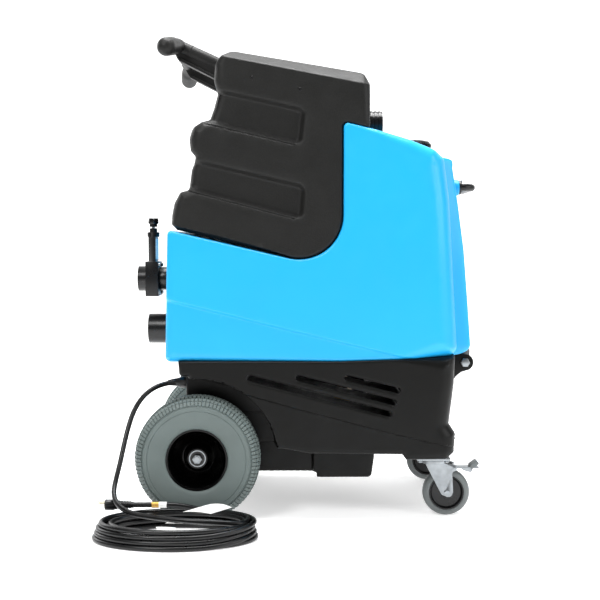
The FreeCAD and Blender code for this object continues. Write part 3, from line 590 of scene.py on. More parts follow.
@dataclass
class RingOfBlocks:
    """Tapered blocks spread evenly round an axis, made by one Geometry Nodes tree."""
    count: int
    radius: float
    along: float
    size: Point
    lean: float = 0.0
    tilt: float = 0.0
    phase: float = 0.0
    taper: float = 0.82

    def tree(self) -> bpy.types.NodeTree:
        """Build the node tree, or return the one that was built before.

        Returns:
            The tree, with named inputs for its sizes.
        """
        made = bpy.data.node_groups.get("ring of blocks")
        if made is not None:
            return made
        made = bpy.data.node_groups.new("ring of blocks", "GeometryNodeTree")
        sockets = made.interface
        sockets.new_socket("Geometry", in_out="INPUT", socket_type="NodeSocketGeometry")
        sockets.new_socket("Count", in_out="INPUT", socket_type="NodeSocketInt")
        for name in ("Radius", "Along", "Lean", "Tilt", "Phase", "Taper"):
            sockets.new_socket(name, in_out="INPUT", socket_type="NodeSocketFloat")
        sockets.new_socket("Size", in_out="INPUT", socket_type="NodeSocketVector")
        sockets.new_socket("Finish", in_out="INPUT", socket_type="NodeSocketMaterial")
        sockets.new_socket("Geometry", in_out="OUTPUT", socket_type="NodeSocketGeometry")
        given = add(made, "NodeGroupInput").outputs
        circle = add(made, "GeometryNodeMeshCircle", inputs={
            "Vertices": given["Count"], "Radius": given["Radius"]})
        # A four-sided cone frustum, turned so that its faces are square to its axes.
        top = add(made, "ShaderNodeMath", {"operation": "MULTIPLY"},
                  {0: given["Taper"], 1: math.sqrt(0.5)})
        block = add(made, "GeometryNodeMeshCone", inputs={
            "Vertices": 4, "Radius Top": top.outputs[0], "Radius Bottom": math.sqrt(0.5),
            "Depth": 1.0})
        square = add(made, "GeometryNodeTransform", inputs={
            "Geometry": block.outputs["Mesh"], "Rotation": (0.0, 0.0, math.pi / 4)})
        index = add(made, "GeometryNodeInputIndex").outputs[0]
        step = add(made, "ShaderNodeMath", {"operation": "DIVIDE"},
                   {0: 2 * math.pi, 1: given["Count"]}).outputs[0]
        turn = add(made, "ShaderNodeMath", {"operation": "MULTIPLY"},
                   {0: index, 1: step}).outputs[0]
        about = add(made, "ShaderNodeCombineXYZ", inputs={"Z": turn}).outputs[0]
        stand = add(made, "ShaderNodeCombineXYZ", inputs={"Y": math.pi / 2}).outputs[0]
        lean = add(made, "ShaderNodeCombineXYZ", inputs={
            "Y": given["Tilt"], "Z": given["Lean"]}).outputs[0]
        upright = add(made, "FunctionNodeRotateRotation", {"rotation_space": "LOCAL"},
                      {"Rotation": about, "Rotate By": stand}).outputs[0]
        leaning = add(made, "FunctionNodeRotateRotation", {"rotation_space": "LOCAL"},
                      {"Rotation": upright, "Rotate By": lean}).outputs[0]
        spread = add(made, "GeometryNodeInstanceOnPoints", inputs={
            "Points": circle.outputs["Mesh"], "Instance": square.outputs["Geometry"],
            "Rotation": leaning, "Scale": given["Size"]})
        lift = add(made, "ShaderNodeCombineXYZ", inputs={"Z": given["Along"]}).outputs[0]
        phase = add(made, "ShaderNodeCombineXYZ", inputs={"Z": given["Phase"]}).outputs[0]
        real = add(made, "GeometryNodeRealizeInstances", inputs={
            "Geometry": spread.outputs["Instances"]})
        set_in = add(made, "GeometryNodeTransform", inputs={
            "Geometry": real.outputs["Geometry"], "Translation": lift, "Rotation": phase})
        dressed = add(made, "GeometryNodeSetMaterial", inputs={
            "Geometry": set_in.outputs["Geometry"], "Material": given["Finish"]})
        add(made, "NodeGroupOutput", inputs={"Geometry": dressed.outputs["Geometry"]})
        return made

    def build(self, name: str, centre: Point, axis: str, finish: Finish) -> bpy.types.Object:
        """Make the ring as a plain mesh.

        Args:
            name: The object's name.
            centre: The ring's centre in millimetres.
            axis: The ring's axis, X, Y or Z.
            finish: What the blocks are made of.

        Returns:
            The object.
        """
        tree = self.tree()
        holder = bpy.data.objects.new(name, bpy.data.meshes.new(name))
        bpy.context.scene.collection.objects.link(holder)
        modifier = holder.modifiers.new("ring", "NODES")
        modifier.node_group = tree
        values = {"Count": self.count, "Radius": self.radius * MM, "Along": self.along * MM,
                  "Lean": math.radians(self.lean),
                  "Tilt": math.radians(self.tilt), "Phase": math.radians(self.phase),
                  "Taper": self.taper, "Finish": finish.material(),
                  "Size": [side * MM for side in self.size]}
        for socket in tree.interface.items_tree:
            if socket.in_out == "INPUT" and socket.name in values:
                modifier[socket.identifier] = values[socket.name]
        graph = bpy.context.evaluated_depsgraph_get()
        mesh = bpy.data.meshes.new_from_object(holder.evaluated_get(graph))
        holder.modifiers.clear()
        holder.data = mesh
        columns = AXES[axis]
        turn = Matrix([[columns[col][row] for col in range(3)] for row in range(3)]).to_4x4()
        turn.translation = Vector(centre) * MM
        mesh.transform(turn)
        mesh.materials.clear()
        mesh.materials.append(finish.material())
        mesh.shade_flat()
        return holder


# ---- side-drawn mouldings ------------------------------------------------------------

Corner = tuple[float, float, float, float]


def traced(corners: Sequence[Corner], step: float) -> tuple[np.ndarray, np.ndarray]:
    """Sample an outline of (x, z, corner radius, rim radius) corners.

    Args:
        corners: The outline's corners, anticlockwise as seen from the near side.
        step: The longest gap between samples.

    Returns:
        The samples, and the rim radius at each.
    """
    count = len(corners)
    spots = np.array([(x, z) for x, z, _, _ in corners], float)
    spans = []
    for index, (_, _, radius, _) in enumerate(corners):
        corner = spots[index]
        back = spots[index - 1] - corner
        ahead = spots[(index + 1) % count] - corner
        back /= np.linalg.norm(back)
        ahead /= np.linalg.norm(ahead)
        half = math.acos(max(-1.0, min(1.0, float(back @ ahead)))) / 2
        if radius <= 0 or half > math.radians(89.9):
            spans.append([corner])
            continue
        reach = radius / math.tan(half)
        inward = (back + ahead) / np.linalg.norm(back + ahead)
        middle = corner + inward * (radius / math.sin(half))
        first, last = corner + back * reach - middle, corner + ahead * reach - middle
        sweep = math.atan2(first[0] * last[1] - first[1] * last[0], float(first @ last))
        steps = max(2, math.ceil(abs(sweep) / math.radians(9)),
                    math.ceil(abs(sweep) * radius / step))
        angle = math.atan2(first[1], first[0])
        spans.append([middle + radius * np.array([math.cos(angle + sweep * at / steps),
                                                 math.sin(angle + sweep * at / steps)])
                      for at in range(steps + 1)])
    line, rims = [], []
    for index, span in enumerate(spans):
        rim, next_rim = corners[index][3], corners[(index + 1) % count][3]
        line.extend(span)
        rims.extend([rim] * len(span))
        start, finish = span[-1], spans[(index + 1) % count][0]
        pieces = max(1, math.ceil(np.linalg.norm(finish - start) / step))
        for at in range(1, pieces):
            line.append(start + (finish - start) * at / pieces)
            rims.append(rim + (next_rim - rim) * at / pieces)
    kept = [at for at in range(len(line))
            if np.linalg.norm(line[at] - line[at - 1]) > 0.05]
    return np.array([line[at] for at in kept]), np.array([rims[at] for at in kept])


def near_edges(spots: np.ndarray, line: np.ndarray, values: np.ndarray | None = None,
               closed: bool = True) -> tuple[np.ndarray, np.ndarray]:
    """Distance from each spot to a line, and the line's value at the nearest place.

    Args:
        spots: The places to measure from.
        line: The line's points.
        values: A value at each of the line's points.
        closed: Whether the line returns to its start.

    Returns:
        Each spot's distance, and its value from the line.
    """
    starts = line if closed else line[:-1]
    ends = np.roll(line, -1, axis=0) if closed else line[1:]
    run = ends - starts
    size = np.maximum((run ** 2).sum(1), 1e-12)
    best = np.full(len(spots), 1e9)
    found = np.zeros(len(spots))
    if values is not None:
        here = values if closed else values[:-1]
        after = np.roll(values, -1) if closed else values[1:]
    for index in range(len(starts)):
        gap = spots - starts[index]
        way = np.clip(gap @ run[index] / size[index], 0, 1)
        distance = np.hypot(*(gap - way[:, None] * run[index]).T)
        closer = distance < best
        best[closer] = distance[closer]
        if values is not None:
            found[closer] = (here[index] + (after[index] - here[index]) * way)[closer]
    return best, found


def inside(spots: np.ndarray, line: np.ndarray) -> np.ndarray:
    """Which spots lie inside a closed line.

    Args:
        spots: The places to test.
        line: The closed line's points.

    Returns:
        True for each spot inside.
    """
    within = np.zeros(len(spots), bool)
    ends = np.roll(line, -1, axis=0)
    for (x0, z0), (x1, z1) in zip(line, ends):
        if z0 == z1:
            continue
        crosses = (spots[:, 1] > min(z0, z1)) & (spots[:, 1] <= max(z0, z1))
        at = x0 + (spots[:, 1] - z0) * (x1 - x0) / (z1 - z0)
        within ^= crosses & (spots[:, 0] < at)
    return within


def smooth_step(value: np.ndarray) -> np.ndarray:
    """Ease from 0 to 1 over the same range.

    Args:
        value: The values to ease.

    Returns:
        The eased values.
    """
    value = np.clip(value, 0, 1)
    return value * value * (3 - 2 * value)


@dataclass
class Hollow:
    """A sunk area of a side: its outline, its depth and how wide its soft wall is."""
    corners: Sequence[tuple[float, float, float]]
    depth: float
    wall: float
    step: float = 4.0
    lip: float = 0.0

    def line(self) -> np.ndarray:
        """The area's outline as samples."""
        return traced([(x, z, radius, 0) for x, z, radius in self.corners], self.step)[0]

    def relief(self, spots: np.ndarray) -> np.ndarray:
        """How far the side is sunk at each spot.

        Args:
            spots: Places on the side as (x, z) rows.

        Returns:
            The depth at each.
        """
        line = self.line()
        distance, _ = near_edges(spots, line)
        distance = np.where(inside(spots, line), distance, -1)
        sunk = self.depth * smooth_step(distance / self.wall)
        if self.lip:
            beyond = np.where(distance > 0, 0, near_edges(spots, line)[0])
            sunk = sunk + 0.12 * self.depth * smooth_step(1 - beyond / self.lip)
        return sunk

    def guides(self) -> list[np.ndarray]:
        """Extra mesh samples that follow the soft wall.

        Returns:
            Rows of (x, z) samples.
        """
        line = self.line()
        ahead = np.roll(line, -1, axis=0) - np.roll(line, 1, axis=0)
        ahead /= np.linalg.norm(ahead, axis=1)[:, None]
        inward = np.stack([-ahead[:, 1], ahead[:, 0]], 1)
        rows = []
        for part in (-0.25, 0, 0.2, 0.4, 0.6, 0.8, 1.0, 1.25):
            spots = line + inward * self.wall * part
            distance, _ = near_edges(spots, line)
            rows.append(spots[distance >= abs(self.wall * part) * 0.97 - 0.02])
        return rows


@dataclass
class Groove:
    """A narrow crease along a line."""
    line: Sequence[tuple[float, float]]
    depth: float
    half: float

    def relief(self, spots: np.ndarray) -> np.ndarray:
        """How far the side is sunk at each spot.

        Args:
            spots: Places on the side as (x, z) rows.

        Returns:
            The depth at each.
        """
        distance, _ = near_edges(spots, np.array(self.line, float), closed=False)
        return self.depth * smooth_step(1 - distance / self.half)

    def guides(self) -> list[np.ndarray]:
        """Extra mesh samples along the crease.

        Returns:
            Rows of (x, z) samples.
        """
        xs, zs = zip(*self.line)
        along = np.arange(xs[0], xs[-1], 5.0)
        height = np.interp(along, xs, zs)
        return [np.stack([along, height + self.half * part], 1)
                for part in (-1.2, -0.6, 0, 0.6, 1.2)]


@dataclass
class Step:
    """A ledge along a line: the side below the line is sunk (or proud) by its depth."""
    line: Sequence[tuple[float, float]]
    depth: float
    wall: float
    spacing: float = 6.0

    def height_of(self, spots: np.ndarray) -> np.ndarray:
        """Signed height of each spot above the line.

        Args:
            spots: Places on the side as (x, z) rows.

        Returns:
            The height of each.
        """
        xs, zs = zip(*self.line)
        return spots[:, 1] - np.interp(spots[:, 0], xs, zs)

    def relief(self, spots: np.ndarray) -> np.ndarray:
        """How far the side is sunk at each spot."""
        return self.depth * smooth_step(-self.height_of(spots) / self.wall)

    def guides(self) -> list[np.ndarray]:
        """Extra mesh samples along the ledge.

        Returns:
            Rows of (x, z) samples.
        """
        xs, zs = zip(*self.line)
        along = np.arange(xs[0], xs[-1], self.spacing)
        height = np.interp(along, xs, zs)
        return [np.stack([along, height - self.wall * part], 1)
                for part in (-0.3, 0, 0.25, 0.5, 0.75, 1.0, 1.3)]


@dataclass
class Moulding:
    """A hollow-moulded body drawn from its side: an outline, soft rims and side reliefs."""
    name: str
    corners: Sequence[Corner]
    half_width: float
    finish: Finish
    reliefs: Sequence = field(default_factory=list)
    step: float = 7.0
    grid: float = 14.0
    bulge: Callable[[np.ndarray, np.ndarray], np.ndarray] | None = None
    bands: Sequence[float] = (0.0, 60.0, 120.0)
    crowding: float = 1.1
    clear_of_line: float = 0.12

    def sunk(self, spots: np.ndarray) -> np.ndarray:
        """The sum of every relief at each spot.

        Args:
            spots: Places on the side as (x, z) rows.

        Returns:
            The depth at each.
        """
        total = np.zeros(len(spots))
        for relief in self.reliefs:
            total += relief.relief(spots)
        return total

    def side(self) -> tuple[np.ndarray, np.ndarray, list, int]:
        """The near side's mesh.

        Returns:
            Its (x, z) samples, their distance from the middle plane, its triangles, and how
            many of the samples are on the outline.
        """
        line, rims = traced(self.corners, self.step)
        ahead = np.roll(line, -1, axis=0) - np.roll(line, 1, axis=0)
        ahead /= np.linalg.norm(ahead, axis=1)[:, None]
        inward = np.stack([-ahead[:, 1], ahead[:, 0]], 1)
        rows = []
        for part in (0.015, 0.06, 0.14, 0.25, 0.4, 0.6, 0.8, 1.0, 1.2):
            spots = line + inward * (rims * part)[:, None]
            distance, _ = near_edges(spots, line)
            good = (distance >= rims * part * 0.96) & inside(spots, line)
            rows.append(spots[good])
        for relief in self.reliefs:
            rows.extend(relief.guides())
        guide = np.concatenate(rows)
        low, high = line.min(0), line.max(0)
        xs = np.arange(low[0], high[0], self.grid)
        zs = np.arange(low[1], high[1], self.grid)
        fill = np.array([(x + (self.grid / 2 if row % 2 else 0), z)
                         for row, z in enumerate(zs) for x in xs])
        extra = np.concatenate([guide, fill])
        extra = extra[inside(extra, line)]
        distance, _ = near_edges(extra, line)
        extra = extra[distance > self.clear_of_line]
        spots = np.concatenate([line, self.thinned(extra)])
        count = len(line)
        edges = [(at, (at + 1) % count) for at in range(count)]
        flat, _, faces, origins, _, _ = delaunay_2d_cdt(
            [Vector(spot) for spot in spots.tolist()], edges, [], 1, 1e-4)
        flat = np.array([tuple(spot) for spot in flat])
        renumber = {old: new for new, olds in enumerate(origins) for old in olds}
        order = [renumber[at] for at in range(count)]
        rest = [at for at in range(len(flat)) if at not in set(order)]
        place = {old: new for new, old in enumerate(order + rest)}
        spots = flat[order + rest]
        triangles = []
        for face in faces:
            corner = [place[at] for at in face]
            (ax, az), (bx, bz), (cx, cz) = (spots[at] for at in corner[:3])
            if (bx - ax) * (cz - az) - (bz - az) * (cx - ax) < 0:
                corner.reverse()
            triangles.append(corner)
        distance, rim = near_edges(spots, line, rims)
        distance[:count] = 0
        rim[:count] = rims
        rim = np.maximum(rim, 0.5)
        gap = np.clip(rim - distance, 0, None)
        drop = rim - np.sqrt(np.maximum(rim ** 2 - gap ** 2, 0))
        return spots, self.half_width - drop - self.sunk(spots), triangles, count

    def thinned(self, spots: np.ndarray) -> np.ndarray:
        """Keep the first of any samples that share a small square.

        Args:
            spots: The samples, with the ones that matter most first.

        Returns:
            The samples that stay.
        """
        seen: set[tuple[int, int]] = set()
        kept = []
        for at, (x, z) in enumerate(spots):
            square = (round(x / self.crowding), round(z / self.crowding))
            if square not in seen:
                seen.add(square)
                kept.append(at)
        return spots[kept]

    def build(self) -> bpy.types.Object:
        """Both sides and the band of surface between them, as one closed mesh.

        Returns:
            The closed moulding.
        """
        spots, out, triangles, count = self.side()
        total = len(spots)
        points = [(x, -y, z) for (x, z), y in zip(spots, out)]
        points += [(x, y, z) for (x, z), y in zip(spots, out)]
        faces = [tuple(face) for face in triangles]
        faces += [tuple(total + at for at in reversed(face)) for face in triangles]
        inner = sorted({band * sign for band in self.bands for sign in (-1, 1)})
        last = max(self.bands)
        ends = (0.25, 0.55, 0.85)
        columns = []
        for at in range(count):
            rim_y = out[at]
            fit = min(1.0, (rim_y - 3) / last)
            outer = [last * fit + (rim_y - last * fit) * part for part in ends]
            ys = [-y for y in reversed(outer)] + [y * fit for y in inner] + outer
            column = [at]
            for y in ys:
                x, z = spots[at]
                if self.bulge is not None:
                    x, z = self.bulge(spots[at], y)
                column.append(len(points))
                points.append((x, y, z))
            column.append(total + at)
            columns.append(column)
        for at in range(count):
            here, after = columns[at], columns[(at + 1) % count]
            for row in range(len(here) - 1):
                faces.append((here[row], here[row + 1], after[row + 1], after[row]))
        return piece(self.name, points, faces, self.finish, sharp=40)


def prism(name: str, corners: Sequence[Corner], half_width: float,
          finish: Finish) -> bpy.types.Object:
    """A plain extrusion of an outline across the machine, for hollowing.

    Args:
        name: The object's name.
        corners: The outline's corners.
        half_width: Half its width across the machine.
        finish: What it is made of.

    Returns:
        The closed prism.
    """
    line, _ = traced(corners, 40.0)
    count = len(line)
    points = [(x, -half_width, z) for x, z in line] + [(x, half_width, z) for x, z in line]
    faces = [tuple(range(count)), tuple(reversed(range(count, 2 * count)))]
    faces += [(at, at + count, (at + 1) % count + count, (at + 1) % count)
              for at in range(count)]
    return face_outwards(piece(name, points, faces, finish))


def rounded_copy(frame: dict, node: str, finish: Finish, width: float = 0.7,
                 segments: int = 2) -> bpy.types.Object:
    """A look piece from a CAD node's shape, with its doubles merged and its edges rounded.

    Args:
        node: The CAD node's name.
        finish: What the piece is made of.
        width: The bevel's width in millimetres, or 0.
        segments: The bevel's facets.

    Returns:
        The new piece.
    """
    shape = bmesh.new()
    shape.from_mesh(frame["nodes"][node].data)
    bmesh.ops.remove_doubles(shape, verts=shape.verts, dist=2e-6)
    bmesh.ops.dissolve_limit(shape, angle_limit=math.radians(1.5), verts=shape.verts,
                             edges=shape.edges)
    bmesh.ops.recalc_face_normals(shape, faces=shape.faces)
    mesh = bpy.data.meshes.new(f"{node}_look")
    shape.to_mesh(mesh)
    shape.free()
    mesh.materials.clear()
    mesh.materials.append(finish.material())
    mesh.shade_smooth()
    made = bpy.data.objects.new(f"{node}_look", mesh)
    bpy.context.scene.collection.objects.link(made)
    return soften(made, width, segments) if width else made


def put(made: bpy.types.Object, body: str, slot: str, *nodes: str) -> bpy.types.Object:
    """Fix a look piece to its body, in the place of CAD nodes.

    Args:
        made: The piece.
        body: The body that it rides.
        slot: Its material slot's name; not used.
        nodes: The CAD nodes that it stands for.

    Returns:
        The piece.
    """
    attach(made, body)
    if nodes:
        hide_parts(*nodes)
    return made


# ---- the machine ---------------------------------------------------------------------

@dataclass
class SolutionTank:
    """The blue clean-water tank with its proud front panel, cap seat and control bay."""
    half_width: float = 240.0
    rear_rim: float = 20.0
    front_rim: float = 44.0
    top_rim: float = 24.0
    panel_half: float = 175.0
    panel_wall: float = 13.0
    panel_top: float = 766.0
    bulge_from: float = 250.0
    cap_seat: Point = (223.0, 0.0, 790.0)
    seat_radius: float = 58.5
    neck_radius: float = 45.8
    boss_at: Point = (300.0, 90.0, 700.0)
    bay_low: Point = (-330.0, 10.0, 430.0)
    bay_high: Point = (-274.0, 190.0, 560.0)
    panel: tuple = ((345, 345), (351, 345), (458, 338), (565, 329), (671, 315), (742, 303),
                    (750, 297.5), (755, 292), (758, 285), (761, 270), (766, 262))
    front: tuple = ((345, 312), (351, 311), (458, 305.5), (565, 299), (671, 293), (740, 283),
                    (766, 262))

    def corners(self) -> list[Corner]:
        """The side outline with the rim radius at each corner.

        Returns:
            The corners, anticlockwise.
        """
        rear, front, top = self.rear_rim, self.front_rim, self.top_rim
        return [(-300, 332, 12, rear), (64, 332, 0, 9), (188, 336, 0, 9),
                (312, 343, 22, front), (293, 669, 200, front), (281, 757, 12, front),
                (256, 774, 50, top), (204, 794, 90, 20), (137, 813, 60, 12),
                (71.5, 828, 9, 6), (71.5, 521.4, 92, 6), (-292, 607, 8, 7)]

    def bulge(self, spot: np.ndarray, y: float) -> tuple[float, float]:
        """Push the outline forward between the panel's two soft walls.

        Args:
            spot: A place on the outline.
            y: How far it is across the machine.

        Returns:
            The place pushed forward.
        """
        x, z = float(spot[0]), float(spot[1])
        if x < self.bulge_from or z > self.panel_top:
            return x, z
        goal = np.interp(z, *zip(*self.panel))
        front = np.interp(z, *zip(*self.front))
        side = float(smooth_step(np.array((self.panel_half + 3 - abs(y)) / self.panel_wall)))
        part = min(max((x - self.bulge_from) / max(front - self.bulge_from, 1), 0), 1)
        return x + (goal - front) * part * side, z

    def build(self) -> bpy.types.Object:
        """Make the tank and carve the bay and the cap's well.

        Returns:
            The tank.
        """
        crease = Step([(-310, 468), (-286, 463), (-150, 430), (-17, 397), (80, 374),
                       (173, 352), (225, 341), (330, 330)], 5.0, 6.0)
        bands = (0, 55, 110, 150, 162, 164.5, 167, 169.5, 172, 174.5, 177, 179.5, 184)
        made = Moulding("blue_tank", self.corners(), self.half_width, BLUE_POLYETHYLENE,
                        [crease], bulge=self.bulge, bands=bands).build()
        seat = lathe("seat", [(0, 0), (self.seat_radius, 0), (self.seat_radius, 60), (0, 60)],
                     self.cap_seat, "Z", BLUE_POLYETHYLENE, 72)
        made = carve(made, seat, "DIFFERENCE")
        neck = self.neck_radius
        bore = lathe("bore", [(0, -110), (neck, -110), (neck, 60), (0, 60)], self.cap_seat,
                     "Z", BLACK_ABS, 64)
        made = carve(made, bore, "DIFFERENCE")
        bay = slab("bay", self.bay_low, self.bay_high, BLUE_POLYETHYLENE, 6)
        made = carve(made, bay, "DIFFERENCE")
        return join("blue_tank", made, *(self.boss(sign) for sign in (-1, 1)))

    def boss(self, sign: int) -> bpy.types.Object:
        """The round seat of one flange of the front handle.

        Args:
            sign: -1 for the near side, 1 for the far side.

        Returns:
            The boss.
        """
        x, half, z = self.boss_at
        return lathe("boss", [(0, 0), (17.5, 0), (17, 26), (15.5, 28), (0, 28)],
                     (x, half * sign, z), "X", BLUE_POLYETHYLENE, 40)


@dataclass
class RecoveryTank:
    """The black waste-water tank: ribs at its rear, two sunk pockets on each side."""
    half_width: float = 235.0
    pocket_depth: float = 13.0
    pocket_wall: float = 13.0
    pocket_lip: float = 9.0
    inner_half: float = 216.0
    lid_at: Point = (-20.0, 0.0, 948.0)
    lid_tilt: float = 9.71
    lid_hole: float = 100.5
    screws: tuple = ((-117, 917.6), (-18.5, 893.7))

    def corners(self) -> list[Corner]:
        """The side outline with the rim radius at each corner.

        Returns:
            The corners, anticlockwise.
        """
        return [(-274, 607, 3, 6), (69.5, 523.6, 90, 6), (69.5, 829, 8, 6),
                (123, 815, 6, 8), (126, 822, 2, 12), (126, 908, 14, 18), (114, 933, 16, 6),
                (14, 951, 60, 5), (-160, 981, 20, 5), (-179, 967, 14, 12),
                (-193, 949, 16, 20), (-196, 913, 14, 22), (-189, 888, 8, 20),
                (-197, 858, 50, 20), (-205, 835, 6, 18), (-221, 830, 8, 20),
                (-240, 818, 20, 24), (-248, 795, 28, 26), (-245, 770, 12, 24),
                (-234, 757, 7, 20), (-244, 731, 30, 20), (-248, 700, 30, 20),
                (-249, 689, 6, 18), (-266, 685, 10, 20), (-279, 663, 24, 24),
                (-284.5, 636, 30, 24), (-284, 618, 6, 16)]

    def build(self) -> bpy.types.Object:
        """Make the tank, hollow it and open its lid hole.

        Returns:
            The tank.
        """
        upper = Hollow([(-250, 912, 4), (-250, 833, 4), (-12, 777, 16), (-4, 858, 20)],
                       self.pocket_depth, self.pocket_wall, lip=self.pocket_lip)
        lower = Hollow([(-300, 770, 4), (-300, 700, 4), (-10, 624, 16), (-4, 701, 20)],
                       self.pocket_depth, self.pocket_wall, lip=self.pocket_lip)
        creases = [Groove([(-214, 824), (-160, 811), (-30, 781)], 2.6, 2.4),
                   Groove([(-256, 688), (-200, 674), (-30, 629)], 2.6, 2.4)]
        foot = Step([(-330, 627), (-273, 614), (-185, 594), (-87, 568), (-38, 552),
                     (20, 520), (140, 480)], 12.0, 3.5)
        made = Moulding("black_tank", self.corners(), self.half_width, BLACK_POLYETHYLENE,
                        [upper, lower, *creases, foot, TopChamfer()], grid=12.0,
                        bands=(0, 60, 120, 165)).build()
        hollow = prism("hollow", [(-270, 616, 0, 0), (58, 540, 60, 0), (58, 816, 0, 0),
                                  (116, 806, 0, 0), (116, 918, 10, 0), (-166, 964, 10, 0),
                                  (-196, 832, 0, 0), (-222, 800, 0, 0), (-222, 690, 0, 0),
                                  (-270, 676, 0, 0)], self.inner_half, BLACK_POLYETHYLENE)
        made = carve(made, hollow, "DIFFERENCE")
        turn = Matrix.Rotation(math.radians(self.lid_tilt), 4, "Y")
        turn.translation = Vector(self.lid_at)
        hole = lathe("hole", [(0, -40), (self.lid_hole, -40), (self.lid_hole, 40), (0, 40)],
                     (0, 0, 0), "Z", BLACK_POLYETHYLENE, 96)
        made = carve(made, moved(hole, turn), "DIFFERENCE")
        screws = [self.screw(x, z, sign) for sign in (1, -1) for x, z in self.screws]
        return join("black_tank", made, *screws)

    def screw(self, x: float, z: float, sign: int) -> bpy.types.Object:
        """One socket screw in a side, its head proud of the wall.

        Args:
            x: Its place along the machine.
            z: Its height.
            sign: 1 for the far side, -1 for the near side.

        Returns:
            The screw.
        """
        low = self.half_width - 1.4
        outline = [(0, low), (4.0, low), (4.0, low + 1.4), (3.2, low + 2.2),
                   (1.8, low + 2.2), (1.6, low + 0.8), (0, low + 0.8)]
        return lathe("screw", [(radius, way * sign) for radius, way in outline], (x, 0, z),
                     "Y", BLACK_ABS, 20)


@dataclass
class TopChamfer:
    """The broad lighter facet between the recovery tank's side and its top."""
    line: tuple = ((-320, 989), (-162, 959), (108, 907), (160, 897))
    slopes: tuple = ((-162, 2.4), (108, 1.5))
    spacing: float = 7.0
    soft: float = 1.6

    def relief(self, spots: np.ndarray) -> np.ndarray:
        """How far the side leans in above the line.

        Args:
            spots: Places on the side as (x, z) rows.

        Returns:
            The depth at each.
        """
        above = spots[:, 1] - np.interp(spots[:, 0], *zip(*self.line))
        soft = self.soft
        eased = np.where(above < -soft, 0, np.where(above > soft, above,
                                                    (above + soft) ** 2 / (4 * soft)))
        return eased * np.interp(spots[:, 0], *zip(*self.slopes))

    def guides(self) -> list[np.ndarray]:
        """Mesh samples across the facet's lower edge.

        Returns:
            Rows of (x, z) samples.
        """
        along = np.arange(self.line[0][0], self.line[-1][0], self.spacing)
        height = np.interp(along, *zip(*self.line))
        return [np.stack([along, height + part], 1) for part in (-4, -1.6, 0, 1.6, 5, 10)]


